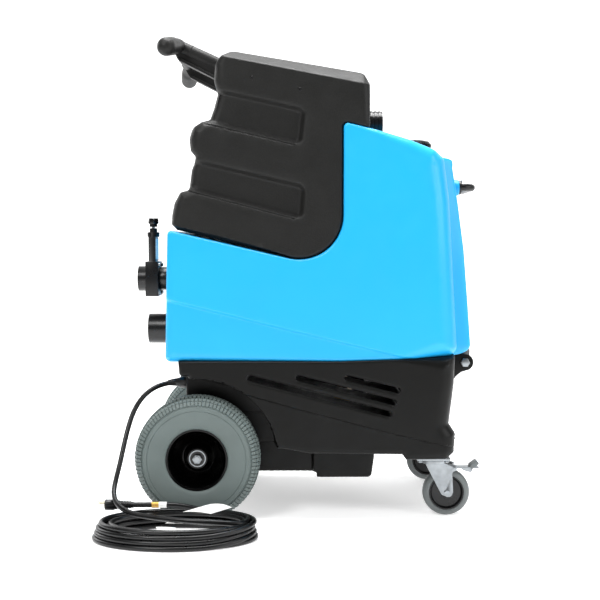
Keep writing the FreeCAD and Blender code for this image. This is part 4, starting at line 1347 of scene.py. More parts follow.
@dataclass
class BaseTub:
    """The black base with its wheel arches, cooling slots and open well."""
    half_width: float = 240.0
    arch_radius: float = 168.0
    axle: tuple = (-232.0, 131.5)
    slots: tuple = (((-130, 302), (173, 224)), ((-28, 302), (182, 248)),
                    ((73, 302), (190, 273)))
    slot_half: float = 6.0
    slot_lip: float = 10.5
    pan_half: float = 170.0
    well_half: float = 152.0
    ear_near: float = 134.0
    ear_far: float = 146.0

    def corners(self) -> list[Corner]:
        """The side outline with the rim radius at each corner.

        Returns:
            The corners, anticlockwise.
        """
        return [(-271, 335.0, 0, 5), (-269, 302, 10, 8), (-250, 302, 2, 10),
                (-250, 152, 0, 10), (-56, 152, 6, 8), (4, 141, 20, 10), (195, 139, 4, 10),
                (203, 128, 3, 10), (287, 128, 6, 16), (305, 141, 8, 26), (307, 182, 8, 34),
                (294, 202, 6, 34), (304, 284, 12, 34), (306, 345, 0, 30),
                (188, 339, 0, 5), (64, 335.0, 0, 5)]

    def build(self) -> bpy.types.Object:
        """Make the tub and open its well.

        Returns:
            The tub.
        """
        cx, cz = self.axle
        ring = [(cx + self.arch_radius * math.cos(turn), cz + self.arch_radius
                 * math.sin(turn), 0) for turn in
                (2 * math.pi * step / 72 for step in range(72))]
        arch = Hollow(ring, 68.0, 7.0, step=9.0)
        ledge = Step([(-320, 313), (-122, 265), (-6, 233), (132, 197), (236, 171),
                      (270, 164), (330, 152)], 4.5, 4.0)
        lips = [Hollow([corner[:3] for corner in self.slot(*ends, self.slot_lip)], 3.0, 4.5)
                for ends in self.slots]
        made = Moulding("black_base", self.corners(), self.half_width, BASE_POLYETHYLENE,
                        [arch, ledge, *lips], step=6.0, grid=11.0,
                        bands=(0, 70, 130, 165)).build()
        aft = Hollow([(-320, 40, 0), (12, 40, 4), (12, 220, 4), (-320, 220, 0)], 12, 6)
        pan = Moulding("pan", [(-263, 320, 0, 4), (-258, 88, 18, 10), (17, 88, 4, 10),
                               (17, 77, 4, 10), (135, 77, 10, 12), (141, 122, 6, 10),
                               (141, 320, 0, 4)], self.pan_half, BASE_POLYETHYLENE, [aft],
                       bands=(0, 70, 140)).build()
        made = carve(made, pan, "UNION")
        for ends in self.slots:
            cut = prism("slot", self.slot(*ends, self.slot_half), 262, BASE_POLYETHYLENE)
            made = carve(made, cut, "DIFFERENCE")
        made = join("black_base", made, *(self.ear(sign) for sign in (-1, 1)))
        well = prism("well", [(-257, 350, 0, 0), (-252, 94, 14, 0), (22, 94, 0, 0),
                              (22, 83, 0, 0), (130, 83, 8, 0), (135, 122, 4, 0),
                              (135, 350, 0, 0)], self.well_half, BASE_POLYETHYLENE)
        return carve(made, well, "DIFFERENCE")

    def ear(self, sign: int) -> bpy.types.Object:
        """One hinge ear with its curved gusset.

        Args:
            sign: -1 for the near side, 1 for the far side.

        Returns:
            The ear.
        """
        rim = arc((337, 323), 18, 60, -62, 12)
        sweep = arc((352, 262), 46, 118, 172, 8)
        outline = [(296, 262), *reversed(sweep), *reversed(rim), (322, 345), (300, 341)]
        count = len(outline)
        near, far = self.ear_near * sign, self.ear_far * sign
        points = [(x, near, z) for x, z in outline] + [(x, far, z) for x, z in outline]
        faces = [tuple(range(count)), tuple(reversed(range(count, 2 * count)))]
        faces += [(at, at + count, (at + 1) % count + count, (at + 1) % count)
                  for at in range(count)]
        return soften(face_outwards(piece("ear", points, faces, BASE_POLYETHYLENE)), 1.5)

    def slot(self, first: tuple, last: tuple, half: float) -> list[Corner]:
        """A slot's outline round its middle line.

        Args:
            first: One end of the middle line.
            last: The other end.
            half: Half the slot's width.

        Returns:
            The outline's corners.
        """
        run = np.subtract(last, first) / math.dist(first, last)
        up = np.array([-run[1], run[0]]) * half
        low = [np.array(first) - up, np.array(last) - up, np.array(last) + up,
               np.array(first) + up]
        return [(float(x), float(z), half * 0.9, 0.0) for x, z in low]


@dataclass
class RearWheel:
    """A foam-filled tyre with moulded blocks on a black dished rim."""
    side: str
    sign: int
    x: float = -232.0
    z: float = 131.5
    middle: float = 217.5
    crown: float = 128.4
    shoulder: float = 24.0
    tyre_half: float = 42.5
    blocks_round: int = 96
    block_seat: float = 20.9

    def build(self) -> None:
        """Make the tyre and the rim and fix them to their body."""
        centre = (self.x, self.middle * self.sign, self.z)
        body = f"rear_wheel_{self.side}"
        tyre = self.tyre(centre)
        put(tyre, body, "grey_tyre", f"rear_tyre_{self.side}")
        rim = self.rim(centre)
        put(rim, body, "rim_enamel", f"rear_rim_{self.side}")
        put(self.bearings(centre), body, "zinc_steel", f"wheel_bearings_{self.side}")

    def tyre(self, centre: Point) -> bpy.types.Object:
        """The carcass with rings of tread blocks.

        Args:
            centre: The wheel's centre.

        Returns:
            The tyre.
        """
        crown, shoulder, half = self.crown, self.shoulder, self.tyre_half
        count, seat = self.blocks_round, self.block_seat
        outer = arc((crown - shoulder, half - shoulder), shoulder - 2.2, 66, 0, 10)
        side = [(64, 34), (66, 36.5), (69, 38.2), (74, 39.6), (86, 41.9), (101.6, half),
                (102.4, half - 0.9), (103.2, half), (109.6, half - 0.3),
                (111.4, half - 2.2)]
        upper = side + outer
        outline = [(radius, -way) for radius, way in upper]
        outline += [(crown + 0.1, 0.0), *reversed(upper)]
        made = lathe(f"tyre_{self.side}", outline, centre, "Y", GREY_TYRE, 200, 30)
        rings = [RingOfBlocks(count, 126.4, 0.0, (10.5, 5.9, 4.6), lean=24, taper=0.88)]
        for sign in (-1, 1):
            rings.append(RingOfBlocks(count, 126.3, 12.0 * sign, (10.5, 5.9, 4.4),
                                      lean=-24, phase=1.9, taper=0.88))
            for way, size in ((31, 8.6), (54, 9.8)):
                turn = math.radians(way)
                rings.append(RingOfBlocks(
                    count, crown - shoulder + seat * math.cos(turn),
                    sign * (half - shoulder + seat * math.sin(turn)), (size, 6.1, 3.6),
                    tilt=-way * sign, taper=0.94))
        blocks = [ring.build("block", centre, "Y", GREY_TYRE) for ring in rings]
        return join(f"tyre_{self.side}", made, *blocks)

    def bearings(self, centre: Point) -> bpy.types.Object:
        """Two ball bearings: bright races with black seals between them.

        Args:
            centre: The wheel's centre.

        Returns:
            Both bearings as one piece.
        """
        rings = []
        for inner, outer in ((6.0, 18.0), (-18.0, -6.0)):
            for low, high in ((6.05, 8.4), (15.4, 17.5)):
                rings.append(lathe("race", [(low, inner), (high, inner), (high, outer),
                                            (low, outer)], centre, "Y", ZINC_STEEL, 48))
            rings.append(lathe("seal", [(8.4, inner + 0.8), (15.4, inner + 0.8),
                                        (15.4, outer - 0.8), (8.4, outer - 0.8)],
                               centre, "Y", BLACK_ABS, 48))
        return join(f"bearings_{self.side}", *rings)

    def rim(self, centre: Point) -> bpy.types.Object:
        """The pressed dish, its barrel and the hub, outer face turned outwards.

        Args:
            centre: The wheel's centre.

        Returns:
            The rim.
        """
        face = [(17.6, 18), (20.5, 18), (21.8, 16.6), (22.4, 10), (24, 0), (27, -6),
                (32, -9), (37, -8), (43, -2), (48, 6), (52, 16), (55.5, 26), (58, 32),
                (60.5, 35.2), (63.9, 35.8)]
        back = [(63.9, -35.8), (61.5, -35.6), (59.6, -33), (58.5, -12), (54, 0),
                (47, -6), (43, -11), (36, -14), (28, -13), (22.5, -12), (22.5, -18),
                (17.6, -18)]
        outline = [(radius, way * self.sign) for radius, way in face + back]
        return lathe(f"rim_{self.side}", outline, centre, "Y", RIM_ENAMEL, 128, 38)


@dataclass
class Caster:
    """A swivel caster with a rounded rubber tyre on a nylon core."""
    side: str
    sign: int
    frame: dict
    wheel_x: float = 293.0
    wheel_y: float = 175.0
    wheel_z: float = 50.0
    pad_at: tuple = (352.0, 109.0)
    pad_half: Point = (10.0, 15.0, 4.5)
    pad_turn: float = -38.0

    def build(self) -> None:
        """Make the wheel, the fork and the brake and fix them to their bodies."""
        wheel, pedal = f"caster_wheel_{self.side}", f"brake_pedal_{self.side}"
        put(self.tread(), wheel, "grey_rubber", f"caster_tyre_{self.side}")
        put(self.hub(), wheel, "caster_nylon", f"caster_core_{self.side}")
        put(self.fork(), f"caster_{self.side}", "zinc_steel", f"caster_fork_{self.side}")
        put(self.pedal(), pedal, "zinc_steel", f"brake_pedal_{self.side}")
        put(self.pad(), pedal, "grey_rubber", f"pedal_pad_{self.side}")

    def centre(self) -> Point:
        """The middle of the wheel."""
        return (self.wheel_x, self.wheel_y * self.sign, self.wheel_z)

    def tread(self) -> bpy.types.Object:
        """The rubber tyre with its round crown.

        Returns:
            The tyre.
        """
        crown = [spot for spot in arc((38, 3.0), 12.0, 90, 0, 8) if spot[0] > 38.5]
        half = [(36.8, 12.5), (37.5, 14.0), *crown]
        return lathe(f"caster_tread_{self.side}", both_sides(half), self.centre(), "Y",
                     CASTER_RUBBER, 96)

    def hub(self) -> bpy.types.Object:
        """The dished nylon core.

        Returns:
            The core.
        """
        dish = [(5.1, 15.8), (11, 15.8), (12, 14.5), (12.6, 9), (31, 8), (33.5, 12),
                (34.5, 14.2), (36.8, 14.2)]
        return lathe(f"caster_hub_{self.side}", both_sides(dish), self.centre(), "Y",
                     BLACK_ABS, 72)

    def fork(self) -> bpy.types.Object:
        """The pressed fork with the axle's hex head and nut.

        Returns:
            The fork.
        """
        fork = rounded_copy(self.frame, f"caster_fork_{self.side}", ZINC_STEEL, 0.6)
        x, y, z = self.centre()
        heads = [lathe("head", [(0, 0), (7.2, 0), (7.2, 4.6), (6.2, 5.6), (0, 5.6)],
                       (x, y + start, z), "Y", ZINC_STEEL, 6) for start in (21.4, -27.0)]
        return join("fork", fork, *heads)

    def pedal(self) -> bpy.types.Object:
        """The brake's pressed lever with the stay under its pad.

        Returns:
            The lever.
        """
        pedal = rounded_copy(self.frame, f"brake_pedal_{self.side}", ZINC_STEEL, 0.5)
        stay = prism("stay", [(328, 97, 2, 0), (345, 92, 3, 0), (349, 96, 2, 0),
                              (346, 102, 2, 0), (322, 103, 2, 0)], 11.0, ZINC_STEEL)
        shift = Matrix.Translation((0, self.wheel_y * self.sign, 0))
        return join("pedal", pedal, moved(soften(stay, 0.8), shift))

    def pad(self) -> bpy.types.Object:
        """The sloping rubber pad that a foot presses.

        Returns:
            The pad.
        """
        turn = Matrix.Rotation(math.radians(self.pad_turn), 4, "Y")
        x, z = self.pad_at
        turn.translation = Vector((x, self.wheel_y * self.sign, z))
        low = tuple(-half for half in self.pad_half)
        return moved(slab("pad", low, self.pad_half, CASTER_RUBBER, 1.6), turn)


@dataclass
class PushHandle:
    """The moulded push handle: a cross bar with thicker, swept grips on two deep arms."""
    grip_end: Point = (-291.5, 235.0, 980.0)
    ahead: float = 12.5
    rise: float = 21.0
    straight_half: float = 130.0
    blend: float = 26.0
    grip_radius: float = 19.0
    bar_radius: float = 16.0
    arm_mid: float = 122.0

    def spot(self, y: float) -> Point:
        """The bar's centre line at a place across the machine.

        Args:
            y: The place across the machine.

        Returns:
            The centre line's point.
        """
        x, half, z = self.grip_end
        past = abs(y) - self.straight_half
        eased = min(max(past + self.blend, 0.0), 2 * self.blend) ** 2 / (4 * self.blend)
        part = 1 - (eased + max(past - self.blend, 0.0)) / (half - self.straight_half)
        return (x + self.ahead * part, y, z + self.rise * part)

    def bar(self) -> bpy.types.Object:
        """The cross bar with its round-ended grips.

        Returns:
            The bar.
        """
        half, thick = self.grip_end[1], self.grip_radius
        path: list[Point] = []
        radii: list[float] = []
        for step in range(1, 8):
            turn = math.pi / 2 * step / 8
            path.append(self.spot(-half - thick * math.cos(turn)))
            radii.append(thick * math.sin(turn))
        for y in np.linspace(-half, 0, 44):
            path.append(self.spot(float(y)))
            swell = smooth_at((abs(y) - 168) / 16)
            radii.append(self.bar_radius + (thick - self.bar_radius) * swell)
        path += [(x, -y, z) for x, y, z in reversed(path[:-1])]
        radii += list(reversed(radii[:-1]))
        return tube_along("handle_bar", path, radii, BLACK_POLYETHYLENE, 40)

    def arm(self, sign: int) -> bpy.types.Object:
        """One arm: a round upper rim with mould seams, a thinner web and a lower lip.

        Args:
            sign: -1 for the near side, 1 for the far side.

        Returns:
            The arm.
        """
        low, high = np.array((-284.5, 1002.5)), np.array((-160.0, 946.0))
        path: list[Point] = []
        radii: list[float] = []
        length = float(np.linalg.norm(high - low))
        for along in (-13.0, -12.0, -9.5, -5.0, *np.arange(0, length, 1.2), length):
            x, z = low + (high - low) * along / length
            path.append((float(x), self.arm_mid * sign, float(z)))
            round_end = math.sqrt(max(1 - (min(along, 0.0) / 13.4) ** 2, 0))
            seam = 0.8 if min(abs(along + 2.0), abs(along - 34.0)) < 0.9 else 0.0
            radii.append(14.5 * round_end + seam)
        rim = tube_along("rim", path, radii, BLACK_POLYETHYLENE, 36)
        web = prism("web", [(-279, 970, 12, 0), (-165, 913, 0, 0), (-165, 950, 0, 0),
                            (-276, 1002, 0, 0), (-292, 995, 6, 0)], 10.0, BLACK_POLYETHYLENE)
        lip = prism("lip", [(-278, 969, 2, 0), (-165, 912, 0, 0), (-165, 919, 0, 0),
                            (-279, 976, 2, 0)], 14.0, BLACK_POLYETHYLENE)
        shift = Matrix.Translation((0, self.arm_mid * sign, 0))
        return join("arm", rim, moved(soften(web, 1.5), shift), moved(soften(lip, 1.5), shift))

    def build(self) -> bpy.types.Object:
        """The bar and the arms as one piece."""
        return join("handle_loop", self.bar(), self.arm(-1), self.arm(1))


@dataclass
class FrontHandle:
    """The black lifting bar across the front panel."""
    height: float = 701.0
    half: float = 90.0
    radius: float = 8.0
    bend: float = 20.0
    front: float = 366.9
    foot: Point = (330.0, 90.0, 702.0)
    flange: Point = (328.0, 90.0, 700.0)

    def build(self) -> bpy.types.Object:
        """The bar, its two bent legs and their flanges.

        Returns:
            The handle.
        """
        reach = self.front - self.radius
        x, half, z = self.foot
        path = [(x, -half, z)]
        for step in range(9):
            turn = math.radians(90 * step / 8)
            path.append((reach - self.bend + self.bend * math.sin(turn),
                         -self.half + self.bend - self.bend * math.cos(turn), self.height))
        path += [(reach, y, self.height) for y in np.linspace(-60, 0, 6)]
        path += [(x, -y, z) for x, y, z in reversed(path[:-1])]
        bar = tube_along("front_bar", path, [self.radius] * len(path), BLACK_ABS, 28)
        x, half, z = self.flange
        flanges = [lathe("flange", [(0, 0), (15, 0), (15, 3.6), (13.6, 5), (0, 5)],
                         (x, half * sign, z), "X", BLACK_ABS, 40) for sign in (-1, 1)]
        return join("front_bar", bar, *flanges)


@dataclass
class FillCap:
    """The screw cap with a gripped rim, and the neck it screws on."""
    x: float = 223.0
    cap_z: float = 792.0
    neck_z: float = 762.0
    teeth: int = 48
    thread_pitch: float = 3.1

    def build(self) -> tuple[bpy.types.Object, bpy.types.Object]:
        """Make the cap and the threaded neck.

        Returns:
            The cap and the neck.
        """
        outline = [(0, 17), (44, 17), (49, 15.8), (51.6, 13.2), (52.2, 10), (52.4, 0.0),
                   (47.4, 0.0), (47.4, 12.6), (0, 12.6)]
        cap = lathe("cap_shell", outline, (self.x, 0, self.cap_z), "Z", BLACK_ABS, 96)
        grip = RingOfBlocks(self.teeth, 51.4, 6.2, (11.6, 3.4, 3.4), taper=0.55).build(
            "grip", (self.x, 0, self.cap_z), "Z", BLACK_ABS)
        cap = join("screw_cap", cap, grip)
        thread = [(40, 0)]
        thread += [(46 if step % 2 else 44.6, 2.0 + self.thread_pitch * step)
                   for step in range(12)]
        thread += [(45, 37), (40, 37)]
        neck = lathe("screw_neck", thread, (self.x, 0, self.neck_z), "Z", BLACK_ABS, 72)
        return cap, neck


@dataclass
class DrainValve:
    """The gate valve: its body with a blank label, and the knob on its threaded stem."""
    frame: dict
    stem: tuple = (-335.5, -120.0)
    lower_nut: tuple = (601.5, 611.5)
    upper_nut: tuple = (614.5, 623.0)
    label_low: Point = (-328.2, -143.0, 545.0)
    label_high: Point = (-327.4, -98.0, 589.0)

    def build(self) -> None:
        """Add the nuts and the label to the CAD shapes."""
        body = rounded_copy(self.frame, "valve_body", BLACK_ABS, 1.4)
        nut = self.nut(*self.lower_nut)
        label = slab("label", self.label_low, self.label_high, TAG_CARD, 0)
        put(join("valve", body, nut, label), "tanks", "black_moulding", "valve_body")
        knob = rounded_copy(self.frame, "valve_knob", GLOSS_ABS, 2.0, 4)
        crown = lathe("crown", [(0, 621), (10.8, 621), (11.2, 623), (11.2, 629), (9.6, 632),
                                (5.5, 633), (0, 633)], (*self.stem, 0), "Z", GLOSS_ABS, 12)
        put(join("knob", knob, crown, self.nut(*self.upper_nut)), "drain_gate", "black_switch",
            "valve_knob")

    def nut(self, low: float, high: float) -> bpy.types.Object:
        """A round nut on the stem with a bevelled edge.

        Args:
            low: The height of its foot.
            high: The height of its top.

        Returns:
            The nut.
        """
        return lathe("nut", [(3.8, low), (8.2, low), (8.2, high - 1), (7.2, high),
                             (3.8, high)], (*self.stem, 0), "Z", BLACK_ABS, 32)


@dataclass
class InletSpigot:
    """The ribbed vacuum inlet on the recovery tank's front."""
    height: float = 847.0
    bore: float = 25.5
    first_rib: float = 31.0
    rib_pitch: float = 9.0

    def build(self) -> bpy.types.Object:
        """A tube with rings round its outside.

        Returns:
            The spigot.
        """
        ribs = []
        for at in range(4):
            start = self.first_rib + at * self.rib_pitch
            ribs += [(30, start), (30, start + 4.6), (28.2, start + 5.6),
                     (28.2, start + 8.2)]
        outline = [(self.bore, 12), (28, 12), (28, 28), *ribs, (28.6, 67), (self.bore, 67)]
        return lathe("ribbed_spigot", outline, (100, 0, self.height), "X", BLACK_ABS, 72)


@dataclass
class MainsCord:
    """The mains cord: a drop from its gland, then loose turns on the floor."""
    route: tuple = ((-287, -150, 281), (-307, -155, 279), (-331, -166, 271),
                    (-353, -183, 254), (-369, -203, 227), (-378, -222, 194),
                    (-384, -241, 160), (-389, -260, 127), (-394, -281, 99),
                    (-396, -304, 77), (-387, -329, 62), (-369, -349, 52),
                    (-345, -361, 46))
    crossing: tuple = ((-320, -370, 44), (-290, -381, 43), (-260, -391, 42.5),
                       (-230, -398, 42), (-200, -401, 41), (-170, -400, 39),
                       (-145, -394, 36), (-126, -384, 33))
    centre: tuple = (-263.5, -370.0)
    half_axes: tuple = (159.0, 96.0)
    diameter: float = 10.5
    length_m: float = 7.6
    # Each turn: inset at the right end, inset at the left end, height.
    turns: tuple = ((20, 30, 34.0), (42, 72, 31.0), (38, 60, 18.0), (33, 50, 5.4),
                    (20, 30, 15.0), (13, 20, 5.4), (0, 0, 5.4), (6.5, 9, 15.0),
                    (13, 17, 24.4), (7, 10, 34.0))
    steps: int = 30
    first_turn: float = 0.04
    last_part: float = 0.17
    shift: float = 0.20
    wobble: float = 1.2
    narrowing: float = 0.82
    squeeze_unit: float = 40.0
    squeeze_most: float = 60.0
    rounds: int = 24
    tolerance_m: float = 0.002
    plug_line: tuple = (-280, -298, -318, -336, -356)
    plug_y: float = -303.0
    plug_z: float = 51.0

    def ring_spot(self, turn: float, squeeze: float) -> Point:
        """A point of the coil.

        Args:
            turn: How many turns have gone by; whole numbers fall at the right end.
            squeeze: How much smaller the inner turns are drawn, to set the length.

        Returns:
            The point in millimetres.
        """
        angle = 2 * math.pi * turn
        index = min(int(turn), len(self.turns) - 1)
        after = min(index + 1, len(self.turns) - 1)
        part = smooth_at((turn - index - (1 - self.shift)) / self.shift)
        right, left, height = (self.turns[index][at] * (1 - part) + self.turns[after][at] * part
                               for at in range(3))
        share = (1 - math.cos(angle)) / 2
        inset = right * (1 - share) + left * share
        inset += squeeze * inset / self.squeeze_unit
        wobble = self.wobble * math.sin(3 * angle + 1.7 * index) * min(inset / 20, 1)
        a, b = self.half_axes
        return (self.centre[0] + (a - inset - wobble) * math.cos(angle),
                self.centre[1] + (b - inset * self.narrowing) * math.sin(angle), height)

    def line(self, squeeze: float) -> list[Point]:
        """The whole centre line from the gland to the plug.

        Args:
            squeeze: How much smaller the inner turns are drawn.

        Returns:
            The points in order.
        """
        points = [*self.route, *self.crossing]
        count = len(self.turns)
        first = self.first_turn
        last = count - 1 + self.last_part
        total = int((last - first) * self.steps)
        for step in range(total + 1):
            points.append(self.ring_spot(first + (last - first) * step / total, squeeze))
        x, y, z = points[-1]
        goal, *rest = self.plug_line
        for part in (0.25, 0.5, 0.75, 1.0):
            eased = smooth_at(part)
            points.append((x + (goal - x) * part, y + (self.plug_y - y) * eased,
                           z + (self.plug_z - z) * eased))
        points += [(along, self.plug_y, self.plug_z) for along in rest]
        return points

    def build(self) -> bpy.types.Object:
        """Draw the cord as a smooth curve of exactly its length.

        Returns:
            The cord's curve as an object.
        """
        low, high = -self.squeeze_most, self.squeeze_most
        for _ in range(self.rounds):
            middle = (low + high) / 2
            curve = self.curve(self.line(middle))
            length = sum(spline.calc_length() for spline in curve.splines)
            if length > self.length_m:
                low = middle
            else:
                high = middle
            if abs(length - self.length_m) < self.tolerance_m:
                break
            bpy.data.curves.remove(curve)
        else:
            curve = self.curve(self.line(middle))
        log.info("cord length %.3f m at squeeze %.1f", length, middle)
        made = bpy.data.objects.new("mains_cord", curve)
        bpy.context.scene.collection.objects.link(made)
        return made

    def curve(self, points: Sequence[Point]) -> bpy.types.Curve:
        """A NURBS curve with a round section through control points.

        Args:
            points: The control points in millimetres.

        Returns:
            The curve.
        """
        curve = bpy.data.curves.new("mains_cord", "CURVE")
        curve.dimensions = "3D"
        spline = curve.splines.new("NURBS")
        spline.points.add(len(points) - 1)
        for point, (x, y, z) in zip(spline.points, points):
            point.co = (x * MM, y * MM, z * MM, 1.0)
        spline.order_u = 3
        spline.use_endpoint_u = True
        spline.resolution_u = 4
        curve.bevel_depth = self.diameter / 2 * MM
        curve.bevel_resolution = 4
        curve.use_fill_caps = True
        curve.materials.append(CORD_PVC.material())
        return curve

    def strain_relief(self) -> bpy.types.Object:
        """The tapered sleeve where the cord leaves its gland.

        Returns:
            The sleeve.
        """
        path = [(-282, -150, 281), (-287, -150.4, 281), (-292, -151.4, 280.8),
                (-297, -152.6, 280.4), (-302, -154, 279.8)]
        return tube_along("strain_relief", path, [8.4, 8.2, 7.6, 6.6, 5.8], CORD_PVC, 28)

    def plug(self) -> bpy.types.Object:
        """The moulded plug with its ribbed boot.

        Returns:
            The plug.
        """
        body = [(0, -413), (9.6, -413), (11, -411.5), (11, -396), (10, -393.5)]
        for at in range(6):
            start = -391.5 + at * 5.6
            radius = 9.4 - at * 0.42
            body += [(radius, start), (radius, start + 3.2), (radius - 1.2, start + 3.8),
                     (radius - 1.2, start + 5.2)]
        body += [(6.2, -355), (0, -355)]
        return lathe("moulded_plug", body,
                     (0, self.plug_y, self.plug_z), "X", CORD_PVC, 40)

    def sleeve(self) -> bpy.types.Object:
        """The blank wrap-round label: a white band with a gold one beside it.

        Returns:
            Both bands as one piece.
        """
        white = lathe("white", [(5.5, -304), (6.1, -304), (6.1, -288), (5.5, -288)],
                      (0, self.plug_y, self.plug_z), "X", TAG_CARD, 32)
        gold = lathe("gold", [(5.5, -318), (6.1, -318), (6.1, -304), (5.5, -304)],
                     (0, self.plug_y, self.plug_z), "X", SLEEVE_GOLD, 32)
        return join("cord_sleeve", white, gold)

    def tags(self) -> bpy.types.Object:
        """Three blank card tags that rest on the turns, one folded.

        Returns:
            The tags as one piece.
        """
        cards = [card("tag_a", [(-249, -358, 50), (-194, -364, 47.5), (-153, -350, 57),
                                (-205, -345, 60)], 0.5, 3.0),
                 card("tag_b", [(-205, -345, 60), (-153, -350, 57), (-170, -342, 61),
                                (-196, -340, 61)], 0.5, 1.0),
                 card("tag_c", [(-280, -392, 36), (-236, -394, 37), (-244, -384, 43),
                                (-264, -382, 44)], 0.5, -1.0),
                 card("tag_d", [(-286, -440, 31), (-258, -441, 30), (-255, -430, 37),
                                (-294, -428, 38)], 0.5, 1.0)]
        dot = lathe("dot", [(0, 0), (2.6, 0), (2.6, 0.3), (0, 0.3)], (-166, -347, 58.4), "Z",
                    TAG_DOT, 20)
        return join("blank_tags", *cards, dot)


def smooth_at(part: float) -> float:
    """Ease a single value from 0 to 1."""
    return float(smooth_step(np.array(part)))


def card(name: str, corners: Sequence[Point], thick: float, bow: float,
         cells: int = 8) -> bpy.types.Object:
    """A thin bowed card between four corners.

    Args:
        name: The object's name.
        corners: Four corners in turn.
        thick: Its thickness.
        bow: How far its middle stands out.
        cells: How many cells it has each way.

    Returns:
        The card.
    """
    a, b, c, d = (np.array(corner, float) for corner in corners)
    normal = np.cross(b - a, d - a)
    normal /= np.linalg.norm(normal)
    rows = []
    for level in (0, thick):
        for u in np.linspace(0, 1, cells + 1):
            for v in np.linspace(0, 1, cells + 1):
                flat = (a * (1 - u) + b * u) * (1 - v) + (d * (1 - u) + c * u) * v
                rows.append(flat + normal * (level + bow * math.sin(math.pi * u)))
    side = cells + 1
    count = side * side
    faces = []
    for u in range(cells):
        for v in range(cells):
            at = u * side + v
            quad = (at, at + 1, at + side + 1, at + side)
            faces += [quad, tuple(count + one for one in reversed(quad))]
    edge = ([(0, v) for v in range(cells)] + [(u, cells) for u in range(cells)]
            + [(cells, v) for v in range(cells, 0, -1)]
            + [(u, 0) for u in range(cells, 0, -1)])
    loop = [u * side + v for u, v in edge]
    for at, one in enumerate(loop):
        after = loop[(at + 1) % len(loop)]
        faces.append((one, one + count, after + count, after))
    return face_outwards(piece(name, rows, faces, TAG_CARD))


@dataclass
class Studio:
    """The white sweep, the lights and the camera."""
    lens_mm: float = 65.92
    camera_at: Point = (-18.5, -2501.0, 581.9)
    tilt_down: float = 3.022
    world_strength: float = 0.22
    floor_back: float = 3600.0
    floor_bend: float = 900.0
    floor_half: float = 9000.0

    def build(self) -> None:
        """Set the stage."""
        bpy.context.scene.view_settings.view_transform = "Standard"
        self.floor()
        self.world()
        self.lamp("key", (-1500, -2300, 2600), (1.1, 1.1), 55, (0, 0, 450))
        self.lamp("fill", (2400, -1500, 1300), (1.8, 1.4), 30, (0, 0, 400))
        self.lamp("top", (0, 100, 2900), (1.6, 1.6), 140, (0, 0, 400))
        self.lamp("back", (-2300, 1300, 1500), (1.4, 1.4), 22, (0, 0, 500))
        self.camera()

    def floor(self) -> None:
        """A wide floor that rises softly behind the machine."""
        rows = []
        back, bend = self.floor_back, self.floor_bend
        path = [(-6000.0, 0.0), (back - bend, 0.0)]
        path += [(back - bend + bend * math.sin(turn), bend - bend * math.cos(turn))
                 for turn in np.linspace(0.1, math.pi / 2, 12)]
        path.append((back, 6500.0))
        for x in (-self.floor_half, self.floor_half):
            rows += [(x, y, z) for y, z in path]
        count = len(path)
        faces = [(at, at + count, at + count + 1, at + 1) for at in range(count - 1)]
        sweep = piece("studio_floor", rows, faces, FLOOR_PAINT)

    def world(self) -> None:
        """An even white surround."""
        world = bpy.data.worlds.new("studio")
        world.use_nodes = True
        back = world.node_tree.nodes["Background"]
        back.inputs["Color"].default_value = linear("#FFFFFF")
        back.inputs["Strength"].default_value = self.world_strength
        bpy.context.scene.world = world

    def lamp(self, name: str, place: Point, size_m: tuple[float, float], watts: float,
             aim: Point) -> None:
        """One soft rectangular lamp turned to its aim.

        Args:
            name: The lamp's name.
            place: Where it stands.
            size_m: Its width and height in metres.
            watts: Its power.
            aim: The point it faces.
        """
        light = bpy.data.lights.new(name, "AREA")
        light.shape = "RECTANGLE"
        light.size, light.size_y = size_m
        light.energy = watts
        lamp = bpy.data.objects.new(name, light)
        lamp.location = Vector(place) * MM
        lamp.rotation_euler = (Vector(aim) - Vector(place)).to_track_quat(
            "-Z", "Y").to_euler()
        bpy.context.scene.collection.objects.link(lamp)

    def camera(self) -> None:
        """The camera, level from side to side and tilted slightly down."""
        data = bpy.data.cameras.new("camera")
        data.lens = self.lens_mm
        data.sensor_width = 36.0
        data.clip_end = 100.0
        camera = bpy.data.objects.new("camera", data)
        camera.location = Vector(self.camera_at) * MM
        camera.rotation_euler = (math.radians(90 - self.tilt_down), 0.0, 0.0)
        bpy.context.scene.collection.objects.link(camera)
        bpy.context.scene.camera = camera


# Inner and small nodes that keep their CAD shape, with the finish of each.
KEPT = {
    "axle_brackets": ZINC_STEEL, "rear_axle": ZINC_STEEL,
    "vacuum_motor_rear": MOTOR_PAINT, "vacuum_motor_front": MOTOR_PAINT,
    "solution_pump": MOTOR_PAINT, "pump_head": BRASS, "inline_heater": MOTOR_PAINT,
    "wiring_box": BLACK_ABS, "solution_quick_coupler": BRASS, "standpipe": WHITE_PVC,
    "shut_off_float": WHITE_PVC, "gauge_window": CLEAR_LENS,
    "gauge_needle": NEEDLE_RED, "recovery_lid": BLACK_ABS, "valve_gate": ZINC_STEEL,
    "plug_prongs": PLUG_BLADE,
}
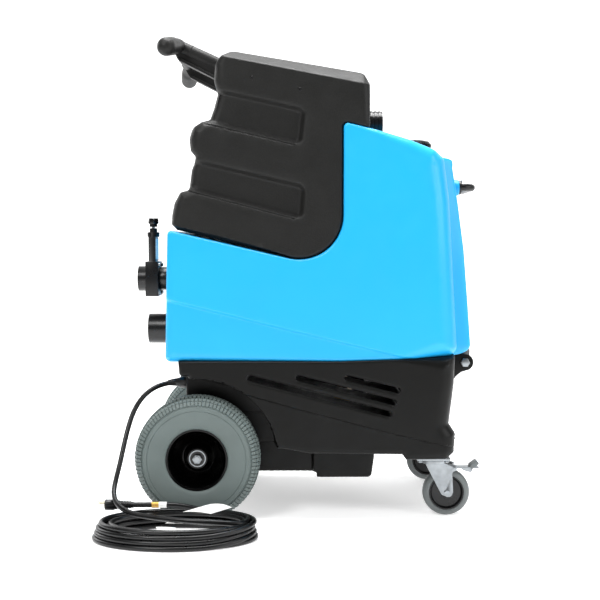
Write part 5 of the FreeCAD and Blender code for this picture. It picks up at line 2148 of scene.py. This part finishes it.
# Small nodes whose edges are rounded: finish, body, slot and edge width.
ROUNDED = {
    "base_bolts": (ZINC_STEEL, "base", "zinc_steel", 0.5),
    "axle_nuts_and_spacers": (ZINC_STEEL, "base", "zinc_steel", 0.7),
    "caster_plates": (ZINC_STEEL, "base", "zinc_steel", 0.8),
    "cord_gland": (BLACK_ABS, "base", "black_moulding", 0.5),
    "hinge_brackets": (ZINC_STEEL, "tanks", "zinc_steel", 0.8),
    "tank_screws": (ZINC_STEEL, "tanks", "zinc_steel", 0.5),
    "valve_coupling": (BLACK_ABS, "tanks", "black_moulding", 0.8),
    "hose_port": (BLACK_ABS, "tanks", "black_moulding", 1.0),
    "control_panel": (BLACK_ABS, "tanks", "black_moulding", 0.6),
    "gauge_case": (CHROME, "tanks", "gauge_rim", 0.6),
    **{f"rocker_switch_{at}": (GLOSS_ABS, f"rocker_{at}", "black_switch", 1.0)
       for at in range(1, 5)},
}


def dress_small_parts(frame: dict) -> None:
    """Give the CAD nodes their finishes and round the small ones that show.
    """
    for node, finish in KEPT.items():
        mesh = frame["nodes"][node].data
        mesh.materials.clear()
        mesh.materials.append(finish.material())
    for node, (finish, body, slot, width) in ROUNDED.items():
        put(rounded_copy(frame, node, finish, width), body, slot, node)


def lay_cord() -> None:
    cord = MainsCord()
    line = put(cord.build(), "base", "cord_jacket", "power_cord_drop", "cord_coil")
    relief = put(cord.strain_relief(), "base", "cord_jacket")
    plug = put(cord.plug(), "base", "cord_jacket", "plug_body")
    sleeve = put(cord.sleeve(), "base", "tag_card")
    tags = put(cord.tags(), "base", "tag_card", "cord_tags")


def main() -> None:
    """Build the scene."""
    logging.basicConfig(level=logging.INFO, format="%(name)s: %(message)s")
    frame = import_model()
    dress_small_parts(frame)
    lay_cord()
    put(SolutionTank().build(), "tanks", "blue_polyethylene", "solution_tank")
    put(RecoveryTank().build(), "tanks", "black_polyethylene", "recovery_tank")
    put(BaseTub().build(), "base", "black_polyethylene", "base_tub")
    put(PushHandle().build(), "tanks", "black_polyethylene", "push_handle")
    put(FrontHandle().build(), "tanks", "black_moulding", "front_handle")
    cap, neck = FillCap().build()
    put(cap, "fill_cap", "black_moulding", "fill_cap")
    put(neck, "tanks", "black_moulding", "fill_neck")
    put(InletSpigot().build(), "tanks", "black_moulding", "vacuum_inlet_spigot")
    DrainValve(frame).build()
    for side, sign in (("near", -1), ("far", 1)):
        RearWheel(side, sign).build()
        Caster(side, sign, frame).build()
    Studio().build()


if __name__ == "__main__":
    main()
